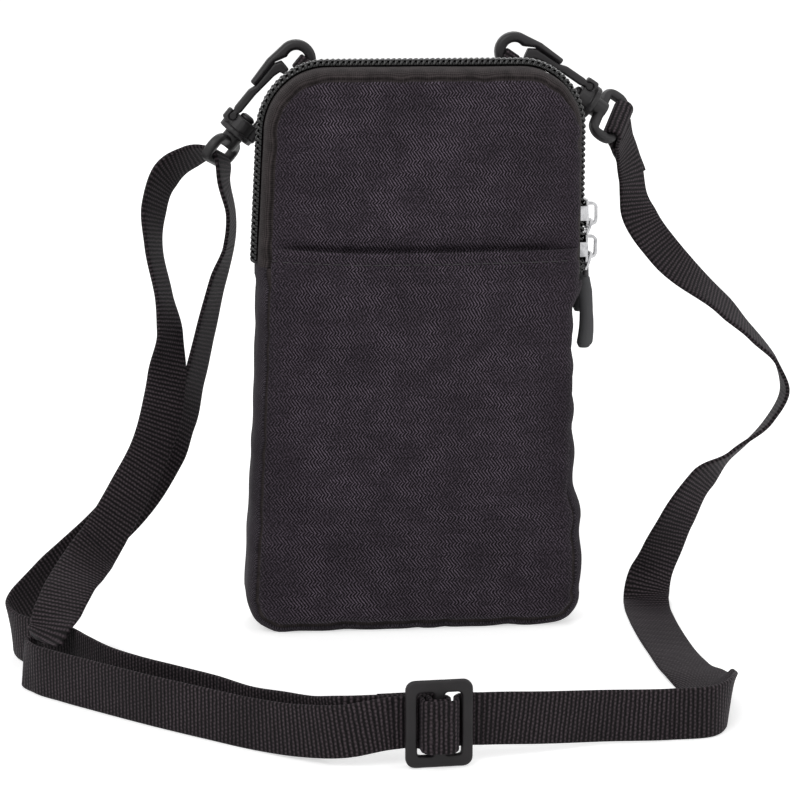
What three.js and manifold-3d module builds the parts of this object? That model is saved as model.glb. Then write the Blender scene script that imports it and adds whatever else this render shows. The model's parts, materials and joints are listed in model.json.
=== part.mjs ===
// A slim upright pouch with a zipped mouth and a detachable webbing shoulder strap.
// Millimetres, +Z up. The origin is the middle of the pouch's base. The front faces -Y, +X is to its right.
import * as THREE from "three";
import { mergeVertices } from "three/addons/utils/BufferGeometryUtils.js";
import Module from "manifold-3d";

// Driving dimensions
const gap = 0.3;
const pouch = { width: 101.6, height: 179, depth: 30, topCorner: 19, bottomCorner: 14 };
const slump = { leftLean: 3.3, rightFlare: 2.2, flareTop: 104 };
const seam = { inset: 3.6, baseInset: 1.4, flatHalf: 7 };
const panel = { thickness: 1.4, frontCrown: 3 };
const pad = { thickness: 2, inset: 7.4 };
const lining = { thickness: 0.6, foldHalf: 9.6 };
const gusset = { thickness: 1.2 };
const binding = { width: 1.8, depth: 3, inset: 5.2 };
const pocket = { top: 121, thickness: 1.2, slack: 0.8 };
const zip = { leftEnd: 118, rightEnd: 112, tapeThickness: 0.9, tapeSlit: 0.9 };
const coil = { width: 2.1, height: 2, pitch: 2, valley: 0.45, closedGap: 0.2 };
const parting = { by: 0.65, length: 3 };
const zipSlider = { length: 9.4, width: 8, plate: 0.8, flange: 0.75, postWidth: 1 };
const zipSliderPlace = { lowerAt: 121, spacing: 10.5 };
const bridge = { width: 2, thickness: 0.9, length: 7.4, rise: 3.3, cornerRadius: 1.8 };
const pullLink = { thickness: 0.8, strip: 0.8, window: 3.4, pivotUp: 0.75, play: 0.4 };
const pullArm = { length: 1.2, upperShift: 3.7, lowerShift: -0.93, gripShift: 2.5 };
const pullCord = { diameter: 1.6, length: 1.4 };
const grip = { length: 23, width: 5.3, depth: 4 };
const tab = { width: 5, thickness: 1.3, tongue: 8, clearance: 0.5, seat: 0.5, insideNose: 1.7 };
const hook = { thickness: 4.6, noseInner: 3.2, bar: 2.9, spine: 3.2, window: 25, base: 4.2, bevel: 0.7 };
const slot = { half: 1.4, top: 11, foot: 3.5 };
const beak = { reach: 14.5, thickness: 2, flare: 0.8 };
const gate = { thickness: 3.6, arm: 2.3, root: 1.5, knuckle: 1.2, wall: 0.8, play: 0.35, foot: 1.2 };
const gatePivot = { x: 4.2, down: 1.4 };
const collar = { flange: 5.75, flangeThickness: 1.4, boss: 4.2, bore: 1.8 };
const eye = { innerWidth: 15.8, innerHeight: 4.2, bar: 2.9 };
const shank = { head: 2.3, headThickness: 1.4, neck: 1.5, hub: 3 };
const leftHook = { side: -1, fromSide: 14.6, aboveTop: 0, lean: 40, eyeTurn: 65 };
const rightHook = { side: 1, fromSide: 17.5, aboveTop: 2, lean: -56, eyeTurn: 45 };
const webbing = { width: 15, thickness: 1.3, lift: 0.15 };
const sewnEnd = { tail: 14 };
const glide = { width: 18.5, height: 24.5, thickness: 2.2, bar: 3.2, centreBar: 3, rail: 3.35 };
const glidePlace = { x: -8, y: -137, yaw: 3, lift: 0.2 };

// Values worked out from them
const halfWidth = pouch.width / 2;
const seamY = pouch.depth / 2;
const bandEndY = seamY - panel.thickness - gap;
const hookPlaneY = seamY + tab.seat + tab.thickness + tab.clearance + hook.thickness / 2;

// Finishes
function finish(color, roughness, metalness = 0) {
  return new THREE.MeshStandardMaterial({ color, roughness, metalness });
}

const shellFabric = finish(0x2b282d, 0.85);
const liningFabric = finish(0x3a3a3e, 0.8);
const foam = finish(0x55555a, 0.95);
const tapeFabric = finish(0x1d1a19, 0.9);
const coilPlastic = finish(0x0e0e0f, 0.35);
const webbingFabric = finish(0x161617, 0.9);
const hookPlastic = finish(0x1a1b1d, 0.42);
const gripRubber = finish(0x141415, 0.7);
const zincAlloy = finish(0xc9cacc, 0.25, 1);

const wasm = await Module();
wasm.setup();

// A closed geometry as a solid that can be joined and cut.
function toSolid(geometry) {
  const bare = new THREE.BufferGeometry();
  bare.setAttribute("position", geometry.getAttribute("position"));
  if (geometry.index) bare.setIndex(geometry.index);
  const merged = mergeVertices(bare, 1e-4);
  const vertProperties = new Float32Array(merged.getAttribute("position").array);
  const triVerts = new Uint32Array(merged.index.array);
  return new wasm.Manifold(new wasm.Mesh({ numProp: 3, vertProperties, triVerts }));
}

// A solid back as a geometry.
function toGeometry(solid) {
  const mesh = solid.getMesh();
  const geometry = new THREE.BufferGeometry();
  geometry.setAttribute("position", new THREE.BufferAttribute(mesh.vertProperties, mesh.numProp));
  geometry.setIndex(new THREE.BufferAttribute(mesh.triVerts, 1));
  return geometry;
}

const join = (first, ...rest) => toGeometry(rest.reduce((sum, g) => sum.add(toSolid(g)), toSolid(first)));
const cut = (first, ...rest) => toGeometry(rest.reduce((sum, g) => sum.subtract(toSolid(g)), toSolid(first)));

// Turns every face of an indexed geometry round.
function turnFaces(geometry) {
  const index = geometry.index.array;
  for (let i = 0; i < index.length; i += 3) [index[i + 1], index[i + 2]] = [index[i + 2], index[i + 1]];
  return geometry;
}

// The mirror image of a geometry in the YZ plane.
function mirrored(geometry) {
  const copy = toGeometry(toSolid(geometry));
  copy.applyMatrix4(new THREE.Matrix4().makeScale(-1, 1, 1));
  return turnFaces(copy);
}

// Six times the signed volume inside an indexed geometry.
function signedVolume(geometry) {
  const p = geometry.getAttribute("position");
  const corner = (i) => new THREE.Vector3().fromBufferAttribute(p, geometry.index.array[i]);
  let sum = 0;
  for (let i = 0; i < geometry.index.count; i += 3) {
    sum += corner(i).dot(corner(i + 1).cross(corner(i + 2)));
  }
  return sum;
}

// A solid through rings of matching points, with flat ends triangulated from the section's plane outline.
function loft(rings, section) {
  const count = section.length;
  const ends = THREE.ShapeUtils.triangulateShape(section, []);
  const index = [];
  for (let r = 0; r + 1 < rings.length; r++) {
    for (let i = 0; i < count; i++) {
      const a = r * count + i;
      const b = r * count + ((i + 1) % count);
      index.push(a, b, b + count, a, b + count, a + count);
    }
  }
  const last = (rings.length - 1) * count;
  const clockwise = THREE.ShapeUtils.isClockWise(section);
  for (const [a, b, c] of ends) {
    if (clockwise) index.push(a, b, c, last + c, last + b, last + a);
    else index.push(c, b, a, last + a, last + b, last + c);
  }
  const geometry = new THREE.BufferGeometry().setFromPoints(rings.flat());
  geometry.setIndex(index);
  if (signedVolume(geometry) < 0) turnFaces(geometry);
  return geometry;
}

// A flat outline made solid along its third axis, with its middle on the outline's plane and bevelled edges.
function plate(shape, thickness, bevel = 0, curveSegments = 8) {
  const geometry = new THREE.ExtrudeGeometry(shape, {
    depth: thickness - 2 * bevel,
    bevelEnabled: bevel > 0,
    bevelThickness: bevel,
    bevelSize: bevel,
    bevelOffset: -bevel,
    bevelSegments: 1,
    curveSegments,
  });
  return geometry.translate(0, 0, bevel - thickness / 2);
}

// Maps an outline's own axes to the given directions.
function facing(geometry, xAxis, yAxis) {
  const basis = new THREE.Matrix4().makeBasis(xAxis, yAxis, xAxis.clone().cross(yAxis));
  return geometry.applyMatrix4(basis);
}

const alongX = new THREE.Vector3(1, 0, 0);
const alongY = new THREE.Vector3(0, 1, 0);
const alongZ = new THREE.Vector3(0, 0, 1);

// A revolved solid about the Z axis. The profile is [radius, height] pairs that start and end on the axis.
function turned(profile, segments = 16) {
  const points = profile.map(([r, h]) => new THREE.Vector2(r, h));
  return new THREE.LatheGeometry(points, segments).rotateX(Math.PI / 2);
}

function roundedRectangle(width, height, radius) {
  const shape = new THREE.Shape();
  const x = width / 2;
  const y = height / 2;
  shape.absarc(x - radius, y - radius, radius, 0, Math.PI / 2);
  shape.absarc(radius - x, y - radius, radius, Math.PI / 2, Math.PI);
  shape.absarc(radius - x, radius - y, radius, Math.PI, 1.5 * Math.PI);
  shape.absarc(x - radius, radius - y, radius, 1.5 * Math.PI, 2 * Math.PI);
  return shape;
}

// The soft pouch's stance: its left side leans in towards the top and its right side flares at the base.
const leanRate = Math.tan(THREE.MathUtils.degToRad(slump.leftLean));
function stance(x, z) {
  const leftShare = (halfWidth - x) / pouch.width;
  const leaning = leanRate * (z - pouch.height / 2);
  const flaring = slump.rightFlare * Math.max(0, 1 - z / slump.flareTop);
  return x + leftShare * leaning + (1 - leftShare) * flaring;
}

// Stations along the pouch's outer outline: a point and its outward normal in the XZ plane.
const station = (x, z, nx, nz) => ({ x: stance(x, z), z, nx, nz });

function sideRun(sign, fromZ, toZ, steps) {
  const z = (i) => THREE.MathUtils.lerp(fromZ, toZ, i / steps);
  return Array.from({ length: steps + 1 }, (_, i) => station(sign * halfWidth, z(i), sign, 0));
}

function cornerStation(sign, radius, centreZ, turn) {
  const nx = sign * Math.cos(turn);
  const nz = Math.sin(turn);
  return station(sign * (halfWidth - radius) + radius * nx, centreZ + radius * nz, nx, nz);
}

function cornerRun(sign, radius, centreZ, fromTurn, toTurn, steps = 7) {
  const turn = (i) => THREE.MathUtils.lerp(fromTurn, toTurn, i / steps);
  return Array.from({ length: steps + 1 }, (_, i) => cornerStation(sign, radius, centreZ, turn(i)));
}

const quarter = Math.PI / 2;
const topCentreZ = pouch.height - pouch.topCorner;
const topRun = [
  ...cornerRun(-1, pouch.topCorner, topCentreZ, 0, quarter),
  ...cornerRun(1, pouch.topCorner, topCentreZ, quarter, 0),
];
const bottomRun = [
  ...cornerRun(1, pouch.bottomCorner, pouch.bottomCorner, 0, -quarter),
  ...cornerRun(-1, pouch.bottomCorner, pouch.bottomCorner, -quarter, 0),
];
const flareStart = station(halfWidth, slump.flareTop, 1, 0);
const wholeOutline = [...topRun, flareStart, ...bottomRun];

const inward = (s, inset) => new THREE.Vector2(s.x - s.nx * inset, s.z - s.nz * inset);

// How far the seams lie inside the outline. Along the base they come down almost to the floor.
const seamInset = (s) => THREE.MathUtils.lerp(seam.inset, seam.baseInset, Math.max(0, -s.nz));

// How far the gusset and tapes fall inwards from the outline: flat in the middle, rounded to the seams.
function bandInset(s, y) {
  const past = Math.max(0, Math.abs(y) - seam.flatHalf) / (bandEndY - seam.flatHalf);
  return seamInset(s) * (1 - Math.sqrt(1 - past * past));
}

// A strip that follows the outline, between two depths, from one inset to another.
function band(stations, depths, outer, thickness) {
  const face = (s, below) => depths.map((y) => new THREE.Vector2(y, bandInset(s, y) + below));
  const section = (s) => [...face(s, outer), ...face(s, outer + thickness).reverse()];
  const placed = (s, p) => new THREE.Vector3(s.x - s.nx * p.y, p.x, s.z - s.nz * p.y);
  const ring = (s) => section(s).map((p) => placed(s, p));
  return loft(stations.map(ring), section(stations[0]));
}

const frontCurve = [0, 0.3, 0.65, 1].map((t) => THREE.MathUtils.lerp(-bandEndY, -seam.flatHalf, t));
const rearCurve = [...frontCurve].map((y) => -y).reverse();

// The padded front's bulge, nothing at the seams and most in the middle.
function frontBulge(x, z) {
  const reach = (t) => Math.max(0, 1 - Math.abs(t) ** 3);
  const left = stance(-halfWidth, z) + seam.inset;
  const right = stance(halfWidth, z) - seam.inset;
  const across = reach((2 * x - left - right) / (right - left));
  const up = reach((2 * z) / pouch.height - 1);
  return panel.frontCrown * across * up;
}

// A panel with the given outline, from its outer face inwards. On the front, side -1, it follows the bulge.
function panelPlate(outline, outerY, thickness, side) {
  const middle = outline.reduce((sum, p) => sum.add(p), new THREE.Vector2()).divideScalar(outline.length);
  const bulge = (p) => (side < 0 ? frontBulge(p.x, p.y) : 0);
  const shares = side < 0 ? [0.25, 0.55, 0.82, 1] : [1];
  const ring = (share, y) =>
    outline.map((p) => {
      const q = p.clone().sub(middle).multiplyScalar(share).add(middle);
      return new THREE.Vector3(q.x, side * (y + bulge(q)), q.y);
    });
  const outerRings = shares.map((share) => ring(share, outerY));
  const innerRings = shares.map((share) => ring(share, outerY - thickness)).reverse();
  return loft([...outerRings, ...innerRings], outline);
}

const panelOutline = wholeOutline.map((s) => inward(s, seamInset(s)));
const padOutline = wholeOutline.map((s) => inward(s, pad.inset));

function pocketOutline() {
  const left = stance(-halfWidth, pocket.top) + seam.inset;
  const right = stance(halfWidth, pocket.top) - seam.inset;
  const low = bottomRun.map((s) => inward(s, seamInset(s)));
  const steps = 8;
  const top = (_, i) => new THREE.Vector2(THREE.MathUtils.lerp(left, right, i / steps), pocket.top);
  return [...Array.from({ length: steps + 1 }, top), ...low];
}

// Depths of the front layers, counted outwards from the pouch's middle.
const panelFace = seamY;
const padFace = panelFace - panel.thickness - gap;
const liningFace = padFace - pad.thickness - gap;
const pocketFace = panelFace + pocket.slack + pocket.thickness;

// The seam binding is a flat bar that runs all round inside a seam.
function bindingBar(side) {
  const near = side * bandEndY;
  const far = side * (bandEndY - binding.depth);
  const section = [
    new THREE.Vector2(near, binding.inset),
    new THREE.Vector2(far, binding.inset),
    new THREE.Vector2(far, binding.inset + binding.width),
    new THREE.Vector2(near, binding.inset + binding.width),
  ];
  const ring = (s) => section.map((p) => new THREE.Vector3(s.x - s.nx * p.y, p.x, s.z - s.nz * p.y));
  const rings = wholeOutline.map(ring);
  const half = Math.floor(rings.length / 2);
  const first = loft(rings.slice(0, half + 1), section);
  const second = loft([...rings.slice(half), rings[0]], section);
  return join(first, second);
}

// The zip: tapes, coils and sliders
const zipRun = [
  ...sideRun(-1, zip.leftEnd, topCentreZ, 2).slice(0, -1),
  ...topRun,
  ...sideRun(1, topCentreZ, zip.rightEnd, 2).slice(1),
];
const gussetRun = [
  ...sideRun(1, zip.rightEnd - gap, pouch.bottomCorner, 3).slice(0, -1),
  ...bottomRun,
  ...sideRun(-1, pouch.bottomCorner, zip.leftEnd - gap, 3).slice(1),
];
const sliderHeights = {
  lower: zipSliderPlace.lowerAt,
  upper: zipSliderPlace.lowerAt + zipSliderPlace.spacing,
};
const postHeights = {
  lower: sliderHeights.lower + zipSlider.length / 4,
  upper: sliderHeights.upper - zipSlider.length / 4,
};
const coilTop = gap + coil.height;
const plateInner = coilTop + gap;
const plateOuter = plateInner + zipSlider.plate;

// How far a coil is pushed aside at a height on the right side, where a slider's post parts the chain.
function partedAt(s) {
  if (s.nx < 1) return 0;
  const away = (z) => Math.max(0, Math.abs(s.z - z) - parting.length / 2) / parting.length;
  const near = (z) => Math.max(0, 1 - away(z));
  return parting.by * Math.max(near(postHeights.lower), near(postHeights.upper));
}

// The station at a distance along the zip, from its left end over the top.
const leftRise = topCentreZ - zip.leftEnd;
const cornerArc = quarter * pouch.topCorner;
const topLength = 2 * (halfWidth - pouch.topCorner);
const zipLength = leftRise + 2 * cornerArc + topLength + topCentreZ - zip.rightEnd;
function zipStation(distance) {
  const aroundLeft = distance - leftRise;
  const overTop = aroundLeft - cornerArc;
  const aroundRight = overTop - topLength;
  const downRight = aroundRight - cornerArc;
  const leftTurn = aroundLeft / pouch.topCorner;
  const rightTurn = quarter - aroundRight / pouch.topCorner;
  if (aroundLeft < 0) return station(-halfWidth, zip.leftEnd + distance, -1, 0);
  if (overTop < 0) return cornerStation(-1, pouch.topCorner, topCentreZ, leftTurn);
  if (aroundRight < 0) return station(overTop - topLength / 2, pouch.height, 0, 1);
  if (downRight < 0) return cornerStation(1, pouch.topCorner, topCentreZ, rightTurn);
  return station(halfWidth, topCentreZ - downRight, 1, 0);
}

// Half of the zip's chain: a ridge for each tooth, with a valley on each side of it.
function coilHalf(side) {
  const steps = 2 * Math.round(zipLength / coil.pitch);
  const corners = (low) => [
    [low * coil.width, gap],
    [coil.width, gap],
    [(1 - low) * coil.width, coilTop - low * coil.height],
    [low * coil.width, coilTop - low * coil.height],
  ];
  const corner = ([y, out]) => new THREE.Vector2(side * (coil.closedGap + y), out);
  const section = (low) => corners(low).map(corner);
  const ring = (s, low) =>
    section(low).map((p) => {
      const y = p.x + side * partedAt(s);
      return new THREE.Vector3(s.x + s.nx * p.y, y, s.z + s.nz * p.y);
    });
  const rings = Array.from({ length: steps + 1 }, (_, i) => {
    const s = zipStation((zipLength * i) / steps);
    return ring(s, i % 2 ? 0 : coil.valley);
  });
  return loft(rings, section(0));
}

// A slider, in its own frame: X out of the pouch from the tape, Z along the chain, head towards +Z.
function sliderBody() {
  const half = zipSlider.width / 2;
  const end = zipSlider.length / 2;
  const tail = 0.72 * half;
  const outline = new THREE.Shape();
  outline.moveTo(-tail, -end);
  outline.lineTo(tail, -end);
  outline.lineTo(half, 0);
  outline.quadraticCurveTo(half, end, 0, end);
  outline.quadraticCurveTo(-half, end, -half, 0);
  const upright = (thickness) => facing(plate(outline, thickness), alongY, alongZ);
  const flat = (thickness, middle) => upright(thickness).translate(middle, 0, 0);
  const outerPlate = flat(zipSlider.plate, plateInner + zipSlider.plate / 2);
  const innerFace = -zip.tapeThickness - gap;
  const innerPlate = flat(zipSlider.plate, innerFace - zipSlider.plate / 2);
  const postLength = plateInner - innerFace + zipSlider.plate;
  const post = new THREE.BoxGeometry(postLength, zipSlider.postWidth, parting.length);
  post.translate(innerFace - zipSlider.plate / 2 + postLength / 2, 0, zipSlider.length / 4);
  const rail = plateInner - gap + zipSlider.plate / 2;
  const flange = (side) =>
    new THREE.BoxGeometry(rail - gap, zipSlider.flange, 0.5 * zipSlider.length).translate(
      (rail + gap) / 2 + gap,
      side * (half - zipSlider.flange / 2),
      -0.05 * zipSlider.length,
    );
  return join(outerPlate, innerPlate, post, flange(1), flange(-1), bridgeArch());
}

// The bridge on a slider: a D-shaped arch over its outer plate.
function bridgeArch() {
  const arch = (inset) => {
    const z = bridge.length / 2 - inset;
    const x = plateOuter + bridge.rise - inset;
    const r = bridge.cornerRadius - inset;
    const foot = plateOuter - zipSlider.plate / 2 - (inset > 0 ? zipSlider.plate : 0);
    const outline = inset > 0 ? new THREE.Path() : new THREE.Shape();
    outline.moveTo(foot, -z);
    outline.lineTo(x - r, -z);
    outline.absarc(x - r, r - z, r, -quarter, 0);
    outline.absarc(x - r, z - r, r, 0, quarter);
    outline.lineTo(foot, z);
    return outline;
  };
  const outer = plate(arch(0), bridge.width);
  const opening = plate(new THREE.Shape(arch(bridge.thickness).getPoints(6)), 2 * bridge.width);
  return facing(cut(outer, opening), alongX, alongZ);
}

// A pull's pivot in its slider's frame, inside the lower end of the bridge.
const pivotX = plateOuter + (bridge.rise - bridge.thickness) / 2;
const pivotZ = -bridge.length / 2 + bridge.thickness + pullLink.pivotUp;

// The link is a flat metal loop round the bridge's foot. Its arm carries the cord to one side.
function linkPlate(shift) {
  const half = bridge.width / 2 + pullLink.play;
  const wide = half + pullLink.strip;
  const low = -pullLink.window - pullLink.strip;
  const high = pullLink.strip / 2;
  const armHalf = pullLink.strip / 2;
  const outline = new THREE.Shape();
  outline.moveTo(-wide, high);
  outline.lineTo(-wide, low);
  outline.lineTo(Math.min(shift - armHalf, wide - pullLink.strip), low);
  outline.lineTo(shift - armHalf, low - pullLink.strip);
  outline.lineTo(shift - armHalf, low - pullArm.length);
  outline.lineTo(shift + armHalf, low - pullArm.length);
  outline.lineTo(shift + armHalf, low);
  if (shift + armHalf < wide) outline.lineTo(wide, low);
  else outline.lineTo(wide, low + pullLink.strip);
  outline.lineTo(wide, high);
  const window = new THREE.Path();
  window.moveTo(-half, -high);
  window.lineTo(half, -high);
  window.lineTo(half, low + pullLink.strip);
  window.lineTo(-half, low + pullLink.strip);
  outline.holes.push(window);
  return facing(plate(outline, pullLink.thickness), alongY, alongZ);
}

const linkEnd = -pullLink.window - pullLink.strip - pullArm.length;

function cordLength() {
  const radius = pullCord.diameter / 2;
  const top = linkEnd - gap;
  const profile = [
    [0, top - pullCord.length],
    [radius, top - pullCord.length],
    [radius, top],
    [0, top],
  ];
  return turned(profile, 8);
}

function gripBody() {
  const top = linkEnd - 2 * gap - pullCord.length;
  const r = grip.width / 2;
  const profile = [
    [0, top - grip.length],
    [0.6 * r, top - grip.length],
    [r, top - 0.93 * grip.length],
    [0.84 * r, top - 0.5 * grip.length],
    [0.9 * r, top - 0.2 * grip.length],
    [0.62 * r, top],
    [0, top],
  ];
  return turned(profile, 14).scale(1, grip.depth / grip.width, 1);
}

// Snap hooks, each in its own frame: Z along the hook, X to its spine, the origin at the centre of its nose.
function noseCentre(place) {
  const x = place.side * (halfWidth - place.fromSide);
  return new THREE.Vector3(x, hookPlaneY, pouch.height + place.aboveTop);
}

const noseOuter = hook.noseInner + hook.bar;
const baseTop = -hook.window;
const baseBottom = baseTop - hook.base - collar.flangeThickness;
const spineInner = shank.head + 2 * gap;
const spineOuter = spineInner + hook.spine;
const pivotHeight = baseTop - gatePivot.down;
const beakOuter = noseOuter + beak.flare;
const beakInner = beakOuter - beak.thickness;
const armOuter = beakInner - gate.play;
const armInner = armOuter - gate.arm;

function hookBody() {
  const outline = new THREE.Shape();
  const baseSide = gatePivot.x + gate.knuckle + gate.play + gate.wall;
  outline.moveTo(spineOuter, baseTop - hook.base);
  outline.lineTo(spineOuter, -0.7 * hook.window);
  outline.lineTo(noseOuter * Math.cos(0.35), -noseOuter * Math.sin(0.35));
  outline.absarc(0, 0, noseOuter, -0.35, Math.PI);
  outline.lineTo(-beakOuter, -0.4 * beak.reach);
  outline.lineTo(-beakOuter + 0.2 * beak.thickness, -beak.reach);
  outline.lineTo(-beakInner, -beak.reach);
  outline.lineTo(-beakInner, -1.5 * hook.noseInner);
  outline.lineTo(-hook.noseInner * Math.cos(0.36), -hook.noseInner * Math.sin(0.36));
  outline.absarc(0, 0, hook.noseInner, Math.PI + 0.36, -0.42, true);
  outline.lineTo(spineInner, -0.25 * hook.window);
  outline.lineTo(slot.half, -slot.top);
  outline.lineTo(slot.half, baseTop + 2 * slot.foot);
  outline.lineTo(spineInner, baseTop + slot.foot);
  outline.lineTo(spineInner, baseTop);
  outline.lineTo(-baseSide, baseTop);
  outline.lineTo(-baseSide, baseTop - 0.8 * hook.base);
  outline.lineTo(-collar.boss, baseTop - hook.base);
  const flat = facing(plate(outline, hook.thickness, hook.bevel), alongX, alongZ);
  const boss = turned([
    [0, baseBottom],
    [collar.flange, baseBottom],
    [collar.flange, baseBottom + collar.flangeThickness],
    [collar.boss, baseBottom + collar.flangeThickness],
    [collar.boss, baseTop],
    [0, baseTop],
  ]);
  const bore = turned([
    [0, baseBottom - gap],
    [collar.bore, baseBottom - gap],
    [collar.bore, baseTop + gap],
    [0, baseTop + gap],
  ]);
  const socketRadius = gate.knuckle + gate.play;
  const socket = new THREE.CylinderGeometry(socketRadius, socketRadius, 2 * collar.flange, 12);
  socket.translate(-gatePivot.x, 0, pivotHeight);
  const mouth = new THREE.BoxGeometry(2 * gate.knuckle - gap, 2 * collar.flange, 2 * gatePivot.down);
  mouth.translate(-gatePivot.x, 0, pivotHeight + gatePivot.down);
  return cut(join(flat, boss), bore, socket, mouth);
}

function gateBody() {
  const outline = new THREE.Shape();
  const root = gatePivot.x;
  const middle = (armOuter + armInner) / 2;
  const headLow = -0.34 * hook.window;
  const roofLow = -hook.noseInner - gate.play;
  outline.moveTo(-root - gate.root / 2, pivotHeight);
  outline.lineTo(-root - gate.root / 2, baseTop + gap);
  outline.lineTo(-root - gate.arm / 2, baseTop + gate.foot);
  outline.lineTo(-middle - gate.arm / 2 - beak.flare, -beak.reach - 2 * gate.foot);
  outline.lineTo(-armOuter, -beak.reach);
  outline.lineTo(-armOuter, -1.75 * hook.noseInner);
  outline.lineTo(-hook.noseInner, 0.95 * roofLow);
  outline.quadraticCurveTo(-0.4 * hook.noseInner, 1.02 * roofLow, 0, 1.12 * roofLow);
  outline.lineTo(0, 1.65 * roofLow);
  outline.lineTo(-0.5 * hook.noseInner, 1.75 * roofLow);
  outline.lineTo(-armInner, headLow);
  outline.lineTo(-middle + gate.arm / 2 - beak.flare, -beak.reach - 2 * gate.foot);
  outline.lineTo(-root + gate.arm / 2, baseTop + gate.foot);
  outline.lineTo(-root + gate.root / 2, baseTop + gap);
  outline.lineTo(-root + gate.root / 2, pivotHeight);
  const arm = facing(plate(outline, gate.thickness, 0.5 * hook.bevel), alongX, alongZ);
  const knuckle = new THREE.CylinderGeometry(gate.knuckle, gate.knuckle, gate.thickness, 12);
  knuckle.translate(-root, 0, pivotHeight);
  return join(arm, knuckle);
}

// The swivel eye: a ring for the webbing on a thick hub, held by a stem with a captive head.
const eyeTop = baseBottom - gap - shank.neck;
const eyeOuterWidth = eye.innerWidth + 2 * eye.bar;
const eyeOuterHeight = eye.innerHeight + 2 * eye.bar;
const eyeMiddle = eyeTop - eyeOuterHeight / 2;
const eyeBar = eyeTop - eyeOuterHeight + eye.bar / 2;
const eyeBarReach = 0.57 * eye.bar;

function eyeBody() {
  const outline = roundedRectangle(eyeOuterWidth, eyeOuterHeight, 0.45 * eyeOuterHeight);
  outline.holes.push(roundedRectangle(eye.innerWidth, eye.innerHeight, 0.12 * eye.innerHeight));
  const ring = facing(plate(outline, eye.bar, 0.25 * eye.bar, 3), alongX, alongZ).translate(0, 0, eyeMiddle);
  const stemRadius = collar.bore - gap;
  const headLow = baseTop + gap;
  const stem = turned([
    [0, eyeTop - eye.bar],
    [shank.hub, eyeTop - eye.bar],
    [shank.hub, baseBottom - gap],
    [stemRadius, baseBottom - gap],
    [stemRadius, headLow],
    [shank.head, headLow],
    [shank.head, headLow + 0.6 * shank.headThickness],
    [0.6 * shank.head, headLow + shank.headThickness],
    [0, headLow + shank.headThickness],
  ]);
  return join(ring, stem);
}

// A webbing tab in its hook's frame: a loop round the nose's bar with a tongue sewn to the back panel.
function tabLoop() {
  const inside = hook.noseInner - tab.insideNose;
  const outside = noseOuter + tab.clearance;
  const halfY = hook.thickness / 2 + tab.clearance;
  const t = tab.thickness;
  const outline = new THREE.Shape();
  outline.moveTo(inside - t, t - halfY);
  outline.lineTo(inside, -halfY - t);
  outline.lineTo(outside + t + tab.tongue, -halfY - t);
  outline.lineTo(outside + t + tab.tongue, -halfY);
  outline.lineTo(outside + t, -halfY);
  outline.lineTo(outside + t, halfY - t);
  outline.lineTo(outside, halfY + t);
  outline.lineTo(inside, halfY + t);
  outline.lineTo(inside - t, halfY - t);
  const opening = new THREE.Path();
  opening.moveTo(inside, -halfY);
  opening.lineTo(outside, -halfY);
  opening.lineTo(outside, halfY);
  opening.lineTo(inside, halfY);
  outline.holes.push(opening);
  return plate(outline, tab.width);
}

// The strap. Each row of its route is a centre point and the direction across the webbing there.
const webbingSection = [
  new THREE.Vector2(-webbing.width / 2, -webbing.thickness / 2),
  new THREE.Vector2(webbing.width / 2, -webbing.thickness / 2),
  new THREE.Vector2(webbing.width / 2, webbing.thickness / 2),
  new THREE.Vector2(-webbing.width / 2, webbing.thickness / 2),
];

// The webbing's outline where it crosses a row of the route, moved along the strap by shift.
function crossing(route, i, shift) {
  const centre = new THREE.Vector3(...route[i]);
  const ahead = new THREE.Vector3(...route[Math.min(i + 1, route.length - 1)]);
  const behind = new THREE.Vector3(...route[Math.max(i - 1, 0)]);
  const along = ahead.sub(behind).normalize();
  const wide = new THREE.Vector3(...route[i].slice(3));
  wide.addScaledVector(along, -wide.dot(along)).normalize();
  const face = new THREE.Vector3().crossVectors(along, wide);
  centre.addScaledVector(along, shift);
  return webbingSection.map((p) => centre.clone().addScaledVector(wide, p.x).addScaledVector(face, p.y));
}

// The strap between two rows of its route, ending half a gap short of each.
function stretch(route, from, to) {
  const rings = [];
  for (let i = from; i <= to; i++) {
    const shift = i === from ? gap / 2 : i === to ? -gap / 2 : 0;
    rings.push(crossing(route, i, shift));
  }
  return loft(rings, webbingSection);
}

// An eye's bar in the shared frame: its middle, its direction, the hook's axis and the way square to both.
function eyeFrame(place) {
  const lean = THREE.MathUtils.degToRad(place.lean);
  const axis = alongZ.clone().applyAxisAngle(alongY, lean);
  const bar = alongX.clone().applyAxisAngle(alongZ, THREE.MathUtils.degToRad(place.eyeTurn));
  bar.applyAxisAngle(alongY, lean);
  const middle = noseCentre(place).addScaledVector(axis, eyeBar);
  return { middle, bar, axis, side: new THREE.Vector3().crossVectors(bar, axis) };
}

// The webbing's near end, folded round an eye's bar and sewn. X runs along the bar and the tail hangs down.
function foldedEnd() {
  const t = webbing.thickness;
  const inner = eyeBarReach + gap;
  const outer = inner + t;
  const spread = Math.acos(t / outer);
  const outline = new THREE.Shape();
  outline.moveTo(t, -outer - sewnEnd.tail);
  outline.absarc(0, 0, outer, -spread, Math.PI + spread);
  outline.lineTo(-t, -outer - sewnEnd.tail);
  const opening = new THREE.Path();
  opening.absarc(0, 0, inner, 0, 2 * Math.PI);
  outline.holes.push(opening);
  return facing(plate(outline, webbing.width), alongY, alongZ);
}

// The frame of the near end: X along the right eye's bar, Z straight up from it as far as the bar allows.
const rightEye = eyeFrame(rightHook);
const nearUp = alongZ.clone().addScaledVector(rightEye.bar, -rightEye.bar.z).normalize();
const nearFrame = new THREE.Matrix4().makeBasis(rightEye.bar, nearUp.clone().cross(rightEye.bar), nearUp);
nearFrame.setPosition(rightEye.middle);

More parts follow.
